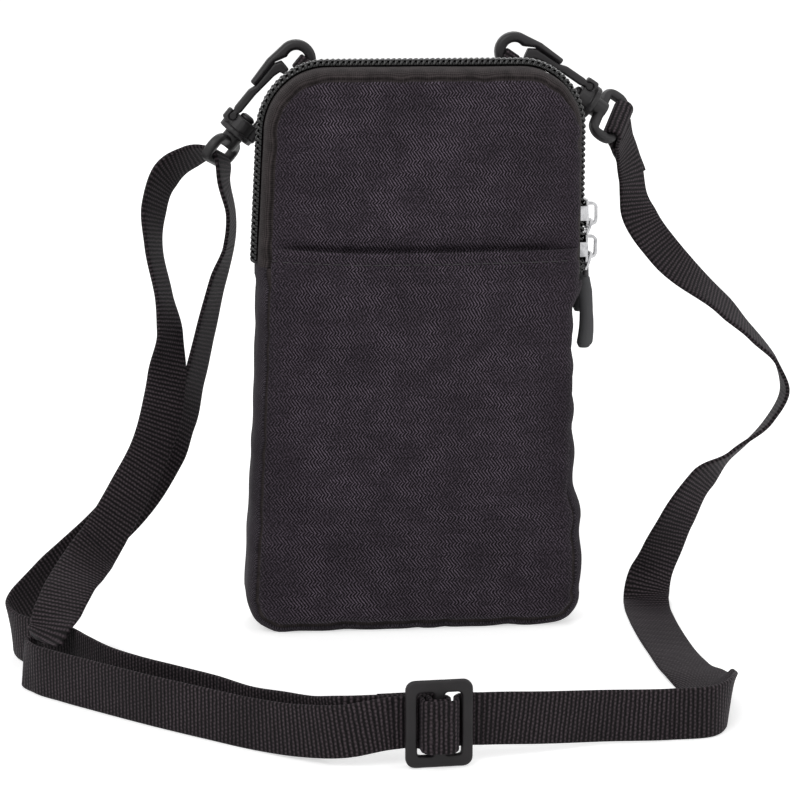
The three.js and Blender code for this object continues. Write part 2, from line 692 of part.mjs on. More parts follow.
const floorZ = webbing.thickness / 2 + webbing.lift;
const edgeZ = webbing.width / 2 + webbing.lift;
const glideZ = glide.height / 2 + glidePlace.lift;

// A row beside the tri-glide, in its own frame: along the strap, then behind it. up is +1 or -1.
const glideYaw = THREE.MathUtils.degToRad(glidePlace.yaw);
function besideGlide(along, behind, up = 1) {
  const x = glidePlace.x + along * Math.cos(glideYaw) - behind * Math.sin(glideYaw);
  const y = glidePlace.y + along * Math.sin(glideYaw) + behind * Math.cos(glideYaw);
  return [x, y, glideZ, 0, 0, up];
}

// The row where the strap leaves the tail of its near end.
function nearEnd() {
  const drop = eyeBarReach + gap + webbing.thickness + sewnEnd.tail + gap / 2;
  return [...new THREE.Vector3(0, 0, -drop).applyMatrix4(nearFrame).toArray(), ...rightEye.bar.toArray()];
}

const rightHang = [
  nearEnd(),
  [75, 25.8, 134.6, 0.5, 0.76, 0.4],
  [77.4, 21.6, 127.4, 0.66, 0.68, 0.3],
  [84.2, 17.6, 116.8, 0.57, 0.79, 0.22],
  [102.5, 16, 98.5, 0.42, 0.9, 0.1],
  [112, 15, 89, 0.3, 0.95, -0.02],
  [120.5, 14.5, 79.5, 0.2, 0.97, -0.1],
  [123.5, 14, 70, 0.1, 0.98, -0.15],
  [118.5, 13.5, 60, 0.1, 0.97, -0.2],
  [106, 13, 49, 0.28, 0.86, -0.42],
  [96.3, 13, 40.5, 0.52, 0.65, -0.55],
  [88, 12.5, 27, 0.73, 0.48, -0.48],
  [83, 13.5, 15.5, 0.86, 0.3, -0.33],
  [79.5, 13, 7.5, 0.95, 0.15, 0],
];

const barBehind = glide.thickness / 2 + gap + webbing.thickness / 2;
const loopHalfX = glide.centreBar / 2 + gap + webbing.thickness;
const loopHalfY = glide.thickness / 2 + gap + webbing.thickness;
const overLoop = loopHalfY + gap + webbing.thickness / 2;
const windowMiddle = loopHalfX + gap + webbing.thickness / 2 + 0.6;
const glideSide = glide.width / 2;
const farTail = -glideSide - sewnEnd.tail / 2;
const farFront = barBehind + webbing.thickness / 2 + gap;
const farBehind = farFront + webbing.thickness;

const frontRun = [
  [77.8, 9.5, 2.6, 0.98, 0.05, 0.2],
  [76.6, 2, 1, 0.99, 0.02, 0],
  [75.6, -10, floorZ, 0.99, 0, 0],
  [75, -25, floorZ, 0.99, -0.1, 0],
  [75, -45, floorZ, 0.99, -0.14, 0],
  [75.4, -65, 1.6, 0.98, -0.08, 0.1],
  [77, -84, 3.4, 0.92, 0.05, 0.36],
  [77.8, -101, 6.4, 0.6, 0.05, 0.8],
  [77, -114, edgeZ, 0.1, 0, 1],
  [72, -120.4, edgeZ, 0, 0, 1],
  [59, -122.4, edgeZ, 0, 0, 1],
  [40, -124.5, 8.6, 0, 0, 1],
  [22, -130, 10.6, 0, 0, 1],
  besideGlide(glideSide + 3, barBehind),
  besideGlide(windowMiddle + 1, barBehind),
  besideGlide(windowMiddle, 0.4 * barBehind),
  besideGlide(windowMiddle - 0.1, -0.55 * overLoop),
  besideGlide(windowMiddle - 1.4, -overLoop),
  besideGlide(0, -overLoop - 0.1),
  besideGlide(1.4 - windowMiddle, -overLoop),
  besideGlide(0.1 - windowMiddle, -0.55 * overLoop),
  besideGlide(-windowMiddle, 0.4 * barBehind),
  besideGlide(-windowMiddle - 1, barBehind),
  besideGlide(-glideSide - 3, barBehind),
  [-33, -135.6, 10.6, 0, 0, 1],
  [-45, -128.5, 8.6, 0, 0, 1],
  [-57, -119.4, edgeZ, 0, 0, 1],
  [-70, -109.3, edgeZ, 0, 0, 1],
  [-85, -97, edgeZ, 0, 0, 1],
  [-101, -82.8, edgeZ, 0, 0, 1],
  [-112, -72.6, edgeZ, 0, 0, 1],
  [-120, -64, edgeZ, 0, 0, 1],
  [-122.8, -57.5, 7.9, 0.1, 0, 0.99],
  [-120.4, -53, 9.4, 0.4, 0, 0.9],
  [-116.2, -50, 14.6, 0.8, 0.1, 0.55],
];

// A row of the strap's route round the left eye's bar, at an angle up from the bar's side.
const leftEye = eyeFrame(leftHook);
function roundEye(degrees) {
  const turn = THREE.MathUtils.degToRad(degrees);
  const reach = eyeBarReach + gap + webbing.thickness / 2;
  const place = leftEye.middle.clone();
  place.addScaledVector(leftEye.side, reach * Math.cos(turn));
  place.addScaledVector(leftEye.axis, reach * Math.sin(turn));
  return [...place.toArray(), ...leftEye.bar.toArray()];
}

const leftLoop = [
  [-112.8, -44, 20, 0.95, 0.15, 0.2],
  [-109.8, -37, 24.5, 0.97, 0.2, 0.05],
  [-105.6, -28, 28.4, 0.95, 0.2, -0.2],
  [-101.2, -19.5, 32.5, 0.8, 0.32, -0.48],
  [-92, -11, 46.2, 0.75, 0.36, -0.55],
  [-84.7, -5, 58.9, 0.81, 0.49, -0.3],
  [-80.8, -1, 70, 0.86, 0.48, -0.17],
  [-79, 3, 80, 0.8, 0.58, -0.13],
  [-77.6, 7.5, 94, 0.51, 0.84, -0.17],
  [-79.5, 11, 106.5, 0.33, 0.93, -0.14],
  [-82.2, 14, 120.4, 0.34, 0.91, -0.25],
  [-81.9, 16.5, 132.5, 0.43, 0.77, -0.47],
  [-78.2, 19.4, 142.4, 0.35, 0.7, -0.6],
  [-71, 21.6, 147.8, 0.26, 0.82, -0.5],
  roundEye(135),
  roundEye(90),
  roundEye(45),
  [-59.6, 17.6, 141, 0.25, 0.94, -0.2],
  [-57.6, 18.6, 131, 0.17, 0.96, -0.12],
  [-58.2, 20, 120, 0.2, 0.95, -0.15],
  [-62, 19.2, 108.5, 0.33, 0.92, -0.18],
  [-66.2, 17.8, 92.5, 0.4, 0.9, -0.18],
  [-70, 15, 78, 0.44, 0.88, -0.18],
  [-74.6, 11.5, 64.5, 0.63, 0.75, -0.22],
  [-79.5, 8, 55, 0.78, 0.53, -0.33],
  [-92, 0, 40, 0.84, 0.2, -0.5],
  [-104, -6, 29.5, 0.78, 0.3, -0.55],
  [-114, -11, 22.5, 0.68, 0.42, -0.6],
  [-121.5, -15.5, 16.5, 0.5, 0.45, -0.74],
  [-127, -20.5, 11.5, 0.25, 0.3, -0.92],
];

const rearRun = [
  [-128.2, -23.8, 9.6, 0.15, 0.2, -0.97],
  [-127.2, -29.4, 8, 0.05, 0.05, -1],
  [-122.8, -36.5, edgeZ, 0, 0, -1],
  [-116.5, -41.5, edgeZ, 0, 0, -1],
  [-110, -47.6, edgeZ, 0, 0, -1],
  [-104, -58, edgeZ, 0, 0, -1],
  [-97.3, -69, edgeZ, 0, 0, -1],
  [-89, -78.4, edgeZ, 0, 0, -1],
  [-78.5, -88, edgeZ, 0, 0, -1],
  [-67, -98.5, edgeZ, 0, 0, -1],
  [-57, -109.5, edgeZ, 0, 0, -1],
  [-48.5, -118, 8.8, 0, 0, -1],
  [-40, -126.4, 10, 0, 0, -1],
  besideGlide(farTail - webbing.width / 2, farBehind + gap, -1),
  besideGlide(farTail - gap / 2, farBehind, -1),
];

// The tri-glide: a frame with two windows and a centre bar.
function glideFrame() {
  const outline = roundedRectangle(glide.width, glide.height, 0.14 * glide.width);
  const windowWidth = glideSide - glide.bar - glide.centreBar / 2;
  const windowHeight = glide.height - 2 * glide.rail;
  for (const side of [-1, 1]) {
    const middle = side * (glide.centreBar / 2 + windowWidth / 2);
    const window = roundedRectangle(windowWidth, windowHeight, 0.2 * windowWidth).getPoints(2);
    outline.holes.push(new THREE.Path(window.map((p) => p.setX(p.x + middle))));
  }
  return facing(plate(outline, glide.thickness, 0.2 * glide.thickness, 3), alongX, alongZ);
}

// The webbing's far end, folded round the tri-glide's centre bar, seen from above.
function glideLoop() {
  const t = webbing.thickness;
  const outline = new THREE.Shape();
  outline.moveTo(loopHalfX, -0.4 * loopHalfY);
  outline.lineTo(loopHalfX, 0.4 * loopHalfY);
  outline.lineTo(0.5 * loopHalfX, loopHalfY);
  outline.lineTo(-0.6 * loopHalfX, farFront + 2 * t);
  outline.lineTo(farTail, farFront + 2 * t);
  outline.lineTo(farTail, farFront);
  outline.lineTo(-1.3 * loopHalfX, farFront);
  outline.lineTo(-loopHalfX, 0.6 * loopHalfY);
  outline.lineTo(-loopHalfX, -0.4 * loopHalfY);
  outline.lineTo(-0.5 * loopHalfX, -loopHalfY);
  outline.lineTo(0.5 * loopHalfX, -loopHalfY);
  outline.holes.push(roundedRectangle(2 * (loopHalfX - t), 2 * (loopHalfY - t), 0.3));
  return plate(outline, webbing.width);
}

// Scene graph
const root = new THREE.Group();

function add(parent, name, geometry, material) {
  const mesh = new THREE.Mesh(geometry, material);
  mesh.name = name;
  parent.add(mesh);
  return mesh;
}

function group(parent, x, y, z, turnY = 0) {
  const made = new THREE.Group();
  made.position.set(x, y, z);
  made.rotation.y = THREE.MathUtils.degToRad(turnY);
  parent.add(made);
  return made;
}

add(root, "front_panel", panelPlate(panelOutline, panelFace, panel.thickness, -1), shellFabric);
add(root, "front_pocket", panelPlate(pocketOutline(), pocketFace, pocket.thickness, -1), shellFabric);
add(root, "front_pad", panelPlate(padOutline, padFace, pad.thickness, -1), foam);
add(root, "front_lining", panelPlate(padOutline, liningFace, lining.thickness, -1), liningFabric);
add(root, "back_panel", panelPlate(panelOutline, panelFace, panel.thickness, 1), shellFabric);
add(root, "back_pad", panelPlate(padOutline, padFace, pad.thickness, 1), foam);
add(root, "back_lining", panelPlate(padOutline, liningFace, lining.thickness, 1), liningFabric);

const gussetDepths = [...frontCurve, ...rearCurve];
const liningDepths = [-lining.foldHalf, -seam.flatHalf, seam.flatHalf, lining.foldHalf];
add(root, "lower_gusset", band(gussetRun, gussetDepths, 0, gusset.thickness), shellFabric);
const liningBand = band(gussetRun, liningDepths, gusset.thickness + gap, lining.thickness);
add(root, "gusset_lining", liningBand, liningFabric);
add(root, "seam_binding_front", bindingBar(-1), liningFabric);
add(root, "seam_binding_rear", bindingBar(1), liningFabric);
add(root, "zip_tape_front", band(zipRun, [...frontCurve, -zip.tapeSlit], 0, zip.tapeThickness), tapeFabric);
add(root, "zip_tape_rear", band(zipRun, [zip.tapeSlit, ...rearCurve], 0, zip.tapeThickness), tapeFabric);
add(root, "zip_coil_front", coilHalf(-1), coilPlastic);
add(root, "zip_coil_rear", coilHalf(1), coilPlastic);

// The two sliders meet head to head on the right side, each with a pull that hangs from its bridge.
for (const which of ["lower", "upper"]) {
  const frame = group(root, halfWidth, 0, sliderHeights[which]);
  const body = add(frame, `zip_slider_${which}`, sliderBody(), zincAlloy);
  if (which === "upper") body.geometry.rotateX(Math.PI);
  const shift = which === "upper" ? pullArm.upperShift : pullArm.lowerShift;
  const pull = group(frame, pivotX, 0, pivotZ);
  add(pull, `zip_link_${which}`, linkPlate(shift), zincAlloy);
  const hang = group(pull, 0, which === "upper" ? shift + pullArm.gripShift : shift, 0);
  add(hang, `zip_cord_${which}`, cordLength(), webbingFabric);
  add(hang, `zip_grip_${which}`, gripBody(), gripRubber);
}

// Snap hooks hang from the tabs behind the top edge, mirror images of each other.
for (const [side, sign, place] of [["left", 1, leftHook], ["right", -1, rightHook]]) {
  const handed = (geometry) => (sign > 0 ? geometry : mirrored(geometry));
  const frame = group(root, ...noseCentre(place).toArray(), place.lean);
  add(frame, `${side}_hook`, handed(hookBody()), hookPlastic);
  add(frame, `${side}_gate`, handed(gateBody()), hookPlastic);
  add(frame, `${side}_tab`, handed(tabLoop()), webbingFabric);
  const swivel = new THREE.Group();
  swivel.rotation.z = THREE.MathUtils.degToRad(place.eyeTurn);
  frame.add(swivel);
  add(swivel, `${side}_eye`, eyeBody(), hookPlastic);
}

// The strap's stretches lie end to end along one route.
const stretches = [
  ["strap_right_hang", rightHang],
  ["strap_front_run", frontRun],
  ["strap_left_loop", leftLoop],
  ["strap_rear_run", rearRun],
];
const strapRoute = stretches.flatMap(([, rows]) => rows);
let reached = 0;
for (const [name, rows] of stretches) {
  const next = Math.min(reached + rows.length, strapRoute.length - 1);
  add(root, name, stretch(strapRoute, reached, next), webbingFabric);
  reached = next;
}
add(root, "strap_near_end", foldedEnd().applyMatrix4(nearFrame), webbingFabric);

const glideGroup = group(root, glidePlace.x, glidePlace.y, glideZ);
glideGroup.rotation.z = glideYaw;
add(glideGroup, "strap_glide", glideFrame(), hookPlastic);
add(glideGroup, "strap_glide_loop", glideLoop(), webbingFabric);

export default root;
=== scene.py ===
"""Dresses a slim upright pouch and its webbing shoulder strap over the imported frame."""

from __future__ import annotations

import json
import logging
import math
from dataclasses import dataclass, field
from enum import Enum
from typing import Sequence

import bmesh
import bpy
import numpy as np
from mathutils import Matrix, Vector

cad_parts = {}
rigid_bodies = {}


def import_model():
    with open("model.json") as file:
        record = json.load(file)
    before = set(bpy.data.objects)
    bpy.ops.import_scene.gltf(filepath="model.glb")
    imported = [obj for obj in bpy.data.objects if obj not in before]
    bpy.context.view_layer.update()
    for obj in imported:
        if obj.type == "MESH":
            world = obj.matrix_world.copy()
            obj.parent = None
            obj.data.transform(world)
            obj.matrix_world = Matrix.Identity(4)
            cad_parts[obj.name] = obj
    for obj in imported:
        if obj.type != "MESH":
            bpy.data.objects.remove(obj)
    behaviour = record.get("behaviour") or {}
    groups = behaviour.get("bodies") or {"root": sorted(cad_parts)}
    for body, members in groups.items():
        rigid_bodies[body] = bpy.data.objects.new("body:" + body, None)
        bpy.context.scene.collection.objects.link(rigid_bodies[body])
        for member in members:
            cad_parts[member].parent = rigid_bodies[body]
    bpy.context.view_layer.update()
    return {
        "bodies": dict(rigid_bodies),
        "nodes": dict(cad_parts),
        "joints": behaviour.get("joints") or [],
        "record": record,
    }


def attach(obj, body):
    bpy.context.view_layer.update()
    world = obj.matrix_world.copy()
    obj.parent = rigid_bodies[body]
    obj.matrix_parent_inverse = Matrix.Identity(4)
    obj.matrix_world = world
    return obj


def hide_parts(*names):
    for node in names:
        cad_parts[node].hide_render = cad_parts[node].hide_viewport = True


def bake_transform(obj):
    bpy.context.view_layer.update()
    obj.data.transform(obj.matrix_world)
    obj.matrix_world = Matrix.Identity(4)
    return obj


log = logging.getLogger("pouch")

Colour = tuple[float, float, float, float]
Face = tuple[int, ...]
Flat = tuple[float, float]
Row = tuple[float, float, float, float, float, float]
Piece = bpy.types.Object
Socket = bpy.types.NodeSocket

MM = 0.001
UV_NAME = "cloth"
POUCH = "pouch"
UP = np.array([0.0, 0.0, 1.0])
# A face with more corners than this is a flat cap
SMOOTH_CORNERS = 8


class Named(Enum):
    """A choice whose name is part of the names of its pieces."""

    @property
    def word(self) -> str:
        """The name in small letters."""
        return self.name.lower()


class Side(Named):
    """A face of the pouch. The value is its sign along Y."""

    FRONT = -1
    REAR = 1

    def depths(self, near: float, far: float) -> list[float]:
        """Give two distances from the middle plane as depths on this side, the lower one first."""
        return sorted((self.value * near, self.value * far))


class Hand(Named):
    """A side of the pouch as seen from its front. The value is its sign along X."""

    LEFT = -1
    RIGHT = 1


# Shared shapes


def unit(vectors: np.ndarray) -> np.ndarray:
    """Return the vectors, one to a row, at length one."""
    return vectors / np.linalg.norm(vectors, axis=-1, keepdims=True)


def ramp(value: np.ndarray, start: float, stop: float) -> np.ndarray:
    """Give 0 up to a start, 1 past a stop and a straight line between them."""
    return np.clip((value - start) / (stop - start), 0, 1)


def ease(value: np.ndarray, start: float, stop: float) -> np.ndarray:
    """Give a ramp with soft ends."""
    held = ramp(value, start, stop)
    return held * held * (3 - 2 * held)


def lerp(low: float, high: float, share: np.ndarray) -> np.ndarray:
    """Go from low to high as a share goes from 0 to 1."""
    return low + (high - low) * share


def fade(distance: np.ndarray, reach: float) -> np.ndarray:
    """Give 1 that dies away with distance."""
    return np.exp(-distance / reach)


def ridge(distance: np.ndarray, width: float) -> np.ndarray:
    """Give a smooth ridge, 1 high, by the distance from its line."""
    return np.exp(-((distance / width) ** 2))


def link_object(name: str, mesh: bpy.types.Mesh) -> Piece:
    """Put a mesh in the scene as an object at the origin."""
    made = bpy.data.objects.new(name, mesh)
    bpy.context.scene.collection.objects.link(made)
    return made


def shade_smooth(mesh: bpy.types.Mesh) -> None:
    """Shade a mesh smoothly, but for the flat caps that close its ends."""
    smooth = [len(face.vertices) <= SMOOTH_CORNERS for face in mesh.polygons]
    mesh.polygons.foreach_set("use_smooth", smooth)
    mesh.update()


def solid(name: str, points: np.ndarray, faces: list[Face], finish: Finish, uv: np.ndarray) -> Piece:
    """Make a closed, smooth mesh object with its faces pointing outwards.

    Args:
        name: The piece's name.
        points: Its points in millimetres.
        faces: Its faces as point numbers.
        finish: Its finish.
        uv: The place of each point in the cloth, in millimetres.

    Returns:
        The object.
    """
    mesh = bpy.data.meshes.new(name)
    mesh.from_pydata((np.asarray(points) * MM).tolist(), [], faces)
    layer = mesh.uv_layers.new(name=UV_NAME)
    corners = np.empty(len(mesh.loops), dtype=np.int32)
    mesh.loops.foreach_get("vertex_index", corners)
    layer.data.foreach_set("uv", np.asarray(uv)[corners].astype(np.float32).ravel())
    shape = bmesh.new()
    shape.from_mesh(mesh)
    bmesh.ops.recalc_face_normals(shape, faces=shape.faces)
    shape.to_mesh(mesh)
    shape.free()
    shade_smooth(mesh)
    mesh.materials.append(finish.material())
    return link_object(name, mesh)


def slab(
    name: str,
    finish: Finish,
    shape: tuple[int, int],
    places: np.ndarray,
    depths: tuple[np.ndarray, np.ndarray],
    uv: np.ndarray,
) -> Piece:
    """Make a closed sheet over a grid.

    Args:
        name: The piece's name.
        finish: Its finish.
        shape: The grid's rows and columns.
        places: The grid's points in millimetres, at any depth.
        depths: The depths of the sheet's outer and inner face.
        uv: The place of each point in the cloth.

    Returns:
        The object.
    """
    points = np.vstack([places, places])
    points[:, 1] = np.concatenate(depths)
    return solid(name, points, sheet_faces(*shape), finish, np.vstack([uv, uv]))


def loft_faces(rings: int, around: int, closed: bool = False) -> list[Face]:
    """Give the faces of a tube through rings of points.

    Args:
        rings: How many rings there are.
        around: How many points a ring has.
        closed: Whether the last ring joins the first. Otherwise the ends are capped.

    Returns:
        The faces as point numbers.
    """
    faces: list[Face] = []
    for ring in range(rings if closed else rings - 1):
        low = ring * around
        high = ((ring + 1) % rings) * around
        for i in range(around):
            j = (i + 1) % around
            faces.append((low + i, low + j, high + j, high + i))
    if not closed:
        faces.append(tuple(range(around)))
        faces.append(tuple(range((rings - 1) * around, rings * around)))
    return faces


def grid_faces(rows: int, columns: int) -> list[Face]:
    """Give the faces of an open grid."""
    corners = [r * columns + c for r in range(rows - 1) for c in range(columns - 1)]
    return [(a, a + 1, a + columns + 1, a + columns) for a in corners]


def sheet_faces(rows: int, columns: int) -> list[Face]:
    """Give the faces of a closed slab: a grid, a second grid behind it, and the edge between them."""
    behind = rows * columns
    faces: list[Face] = []
    for quad in grid_faces(rows, columns):
        faces += [quad, tuple(behind + i for i in reversed(quad))]
    rim = list(range(columns))
    rim += [r * columns + columns - 1 for r in range(1, rows)]
    rim += [(rows - 1) * columns + c for c in range(columns - 2, -1, -1)]
    rim += [r * columns for r in range(rows - 2, 0, -1)]
    for a, b in zip(rim, rim[1:] + rim[:1]):
        faces.append((a, behind + a, behind + b, b))
    return faces


# Finishes


class Graph:
    """Builds a node tree with short calls."""

    def __init__(self, tree: bpy.types.NodeTree) -> None:
        """Keep the tree that the calls add to."""
        self.tree = tree

    def node(self, kind: str, inputs: dict | None = None, **settings: object) -> bpy.types.Node:
        """Add a node.

        Args:
            kind: The node's type.
            inputs: A value or an output socket for each named or numbered input.
            settings: The node's own settings.

        Returns:
            The node.
        """
        made = self.tree.nodes.new(kind)
        for key, value in settings.items():
            setattr(made, key, value)
        self.dress(made, inputs or {})
        return made

    def dress(self, node: bpy.types.Node, inputs: dict) -> None:
        """Link an output socket to each given input of a node, or set the input's value."""
        for key, value in inputs.items():
            if isinstance(value, Socket):
                self.tree.links.new(value, node.inputs[key])
            else:
                node.inputs[key].default_value = value

    def out(self, kind: str, inputs: dict | None = None, **settings: object) -> Socket:
        """Add a node and return its first output."""
        return self.node(kind, inputs, **settings).outputs[0]

    def math(self, operation: str, *values: object) -> Socket:
        """Return the result of a Math node."""
        return self.out("ShaderNodeMath", dict(enumerate(values)), operation=operation)

    def times(self, a: object, b: object, plus: object = 0.0) -> Socket:
        """Return a product, plus a third value."""
        return self.math("MULTIPLY_ADD", a, b, plus)

    def over(self, a: object, b: object) -> Socket:
        """Return a quotient."""
        return self.math("DIVIDE", a, b)

    def mix(self, amount: object, low: object, high: object) -> Socket:
        """Mix two colours and return the result."""
        return self.node("ShaderNodeMix", {0: amount, 6: low, 7: high}, data_type="RGBA").outputs[2]

    def span(self, value: object, low: float, high: float, to_low: float = 0, to_high: float = 1) -> Socket:
        """Map a value from one range to another, held at its ends."""
        return self.out("ShaderNodeMapRange", {0: value, 1: low, 2: high, 3: to_low, 4: to_high})

    def noise(self, vector: object, scale: float, detail: float = 3.0) -> Socket:
        """Return a noise value, 0 to 1."""
        made = self.node("ShaderNodeTexNoise", {"Vector": vector, "Scale": scale, "Detail": detail})
        return made.outputs["Fac"]

    def chance(self, count: object) -> Socket:
        """Return a value, 0 to 1, that is by chance but fixed for each count."""
        return self.node("ShaderNodeTexWhiteNoise", {"W": count}, noise_dimensions="1D").outputs["Value"]

    def bump(self, height: object, distance: float, strength: float) -> Socket:
        """Return a normal bumped by a height that goes from 0 to 1."""
        return self.out("ShaderNodeBump", {"Height": height, "Distance": distance, "Strength": strength})

    def cloth(self) -> tuple[Socket, Socket, Socket]:
        """Return the cloth's own place as a vector and its two coordinates, in millimetres."""
        vector = self.out("ShaderNodeUVMap", uv_map=UV_NAME)
        split = self.node("ShaderNodeSeparateXYZ", {0: vector}).outputs
        return vector, split[0], split[1]

    def place(self) -> Socket:
        """Return the place on the object, in metres."""
        return self.node("ShaderNodeTexCoord").outputs["Object"]

    def point(self, *values: object) -> Socket:
        """Return a vector made of its coordinates."""
        return self.out("ShaderNodeCombineXYZ", dict(enumerate(values)))

    def wave(self, phase: object) -> Socket:
        """Return a sine of a count of turns, 0 to 1."""
        return self.times(self.math("SINE", self.times(phase, 2 * math.pi)), 0.5, 0.5)


@dataclass(frozen=True)
class Finish:
    """A surface finish, whose material is made once."""

    name: str
    slot: str

    def material(self) -> bpy.types.Material:
        """Return the finish's material, and make it if it is new."""
        found = bpy.data.materials.get(self.name)
        if found:
            return found
        made = bpy.data.materials.new(self.name)
        made.use_nodes = True
        graph = Graph(made.node_tree)
        graph.dress(made.node_tree.nodes["Principled BSDF"], self.looks(graph))
        return made

    def looks(self, graph: Graph) -> dict[str, object]:
        """Build the finish's nodes, and give what goes into its shader."""
        raise NotImplementedError


@dataclass(frozen=True)
class Woven(Finish):
    """A cloth or thread with dark hollows and lighter yarns."""

    dark: Colour = (0.022, 0.022, 0.025, 1)
    light: Colour = (0.085, 0.085, 0.092, 1)
    relief: float = 0.0001
    bumpy: float = 0.6
    rough: float = 0.85
    sheen: float = 0.0
    sheen_tint: Colour = (1, 1, 1, 1)
    shine: float = 0.5

    def cover(self, tone: Socket, height: Socket, graph: Graph) -> dict[str, object]:
        """Give what goes into the shader for a weave's tone and height."""
        return {
            "Base Color": graph.mix(tone, self.dark, self.light),
            "Normal": graph.bump(height, self.relief, self.bumpy),
            "Roughness": self.rough,
            "Sheen Weight": self.sheen,
            "Sheen Tint": self.sheen_tint,
            "Specular IOR Level": self.shine,
        }


@dataclass(frozen=True)
class ShellTwill(Woven):
    """The pouch's dark twill: bands of steep lines, wider ones falling right and narrower ones left."""

    dark: Colour = (0.0022, 0.0015, 0.0023, 1)
    light: Colour = (0.174, 0.1375, 0.178, 1)
    relief: float = 0.00012
    sheen: float = 0.03
    shine: float = 0.12
    band: float = 4.0
    share: float = 0.72
    soft: float = 0.04
    pitch: float = 1.02
    slope: float = 0.73
    contrast: float = 2.25

    def looks(self, graph: Graph) -> dict[str, object]:
        """Build slanted lines broken by loose yarns, with soft worn patches and painted shade on the
        narrower bands.
        """
        vector, u, v = graph.cloth()
        loose = graph.times(graph.noise(vector, 0.7, 2), 0.5, u)
        count = graph.over(graph.times(graph.noise(vector, 0.3, 3), 2.0, v), self.band)
        lines = []
        for sign in (1, -1):
            chance = graph.chance(graph.math("ADD", graph.math("FLOOR", count), 0.25 * sign))
            slanted = graph.times(v, sign * self.slope, graph.times(chance, self.pitch, loose))
            lines.append(graph.wave(graph.over(slanted, self.pitch)))
        turned = graph.span(graph.math("FRACT", count), self.share - self.soft, self.share + self.soft)
        line = graph.times(lines[0], graph.math("SUBTRACT", 1.0, turned), graph.times(lines[1], turned))
        flatter = graph.span(graph.math("ABSOLUTE", u), 33, 47, 1.0, 0.45)
        crisp = graph.times(graph.span(graph.noise(vector, 0.14, 3), 0.35, 0.62, 0.55, 1.2), flatter)
        line = graph.times(graph.math("SUBTRACT", line, 0.5), crisp, 0.5)
        yarn, speck, patch = (graph.noise(vector, *size) for size in ((1.3, 4), (3.2, 2), (0.05, 4)))
        height = graph.times(speck, 1.5, graph.times(yarn, 0.9, line))
        tone = graph.math("POWER", graph.span(height, 1.12, 2.5), self.contrast)
        # worn: soft patches of random tone, times painted shade that darkens the narrower bands
        worn = graph.times(graph.span(patch, 0.35, 0.7, 0.86, 1.22), graph.span(turned, 0, 1, 1.0, 0.93))
        return self.cover(graph.times(tone, worn), height, graph)


@dataclass(frozen=True)
class ZipTape(Woven):
    """The zip's woven tape: fine ribs along it, fuzzy and a little brown."""

    dark: Colour = (0.005, 0.0041, 0.0043, 1)
    light: Colour = (0.068, 0.056, 0.057, 1)
    relief: float = 0.00016
    bumpy: float = 0.8
    rough: float = 0.92
    sheen: float = 0.05
    shine: float = 0.1
    rib: float = 0.75
    pick: float = 0.62

    def looks(self, graph: Graph) -> dict[str, object]:
        """Build ribs under a short fuzz."""
        vector, u, v = graph.cloth()
        rib = graph.wave(graph.over(u, self.rib))
        pick = graph.wave(graph.over(v, self.pick))
        woven = graph.times(pick, 0.35, graph.times(rib, 0.5))
        height = graph.times(graph.noise(vector, 2.6, 4), 1.1, woven)
        mottle = graph.span(graph.noise(vector, 0.22, 3), 0.3, 0.75, 0.55, 1.3)
        return self.cover(graph.times(graph.span(height, 0.35, 1.5), mottle), height, graph)


@dataclass(frozen=True)
class Webbing(Woven):
    """Flat woven strap: ribs across it, fine yarns along it and a slight cool sheen."""

    dark: Colour = (0.0010, 0.0008, 0.0009, 1)
    light: Colour = (0.082, 0.064, 0.073, 1)
    relief: float = 0.0002
    bumpy: float = 0.8
    rough: float = 0.7
    sheen: float = 0.015
    sheen_tint: Colour = (0.8, 0.86, 1, 1)
    shine: float = 0.12
    rib: float = 1.31
    yarn: float = 1.15
    contrast: float = 1.8

    def looks(self, graph: Graph) -> dict[str, object]:
        """Build cross ribs broken by lengthwise yarns."""
        vector, u, v = graph.cloth()
        count = graph.over(graph.times(graph.noise(vector, 0.5, 3), 0.6, v), self.rib)
        odd = graph.times(graph.math("MODULO", graph.math("FLOOR", count), 2.0), 0.5)
        bead = graph.wave(graph.math("ADD", graph.over(u, self.yarn), odd))
        woven = graph.times(graph.wave(count), graph.times(bead, 0.5, 0.6))
        height = graph.times(graph.noise(vector, 1.7, 3), 0.9, woven)
        tone = graph.math("POWER", graph.span(height, 0.35, 1.55), self.contrast)
        patch = graph.span(graph.noise(vector, 0.05, 3), 0.3, 0.7, 0.75, 1.15)
        return self.cover(graph.times(tone, patch), height, graph)


@dataclass(frozen=True)
class PlainWeave(Woven):
    """A plain woven cloth for the inside."""

    thread: float = 0.8

    def looks(self, graph: Graph) -> dict[str, object]:
        """Build threads over and under each other."""
        vector, u, v = graph.cloth()
        warp, weft = (graph.wave(graph.over(way, self.thread)) for way in (u, v))
        height = graph.times(graph.noise(vector, 1.5), 0.5, graph.math("ADD", warp, weft))
        return self.cover(graph.span(height, 0.4, 2.1), height, graph)


@dataclass(frozen=True)
class Moulded(Finish):
    """A moulded surface with a fine grain: satin plastic, rubber or a shiny coil."""

    base: Colour = (0.011, 0.0098, 0.0108, 1)
    worn: Colour = (0.022, 0.0205, 0.0220, 1)
    grain: float = 2600.0
    depth: float = 0.00003
    smooth: float = 0.42
    rough: float = 0.56
    shine: float = 0.4

    def looks(self, graph: Graph) -> dict[str, object]:
        """Build a grain, rubbed patches and an uneven gloss."""
        place = graph.place()
        rub = graph.noise(place, 140, 4)
        return {
            "Base Color": graph.mix(graph.span(rub, 0.4, 0.7), self.base, self.worn),
            "Roughness": graph.span(rub, 0.3, 0.7, self.smooth, self.rough),
            "Normal": graph.bump(graph.noise(place, self.grain, 2), self.depth, 0.5),
            "Specular IOR Level": self.shine,
        }


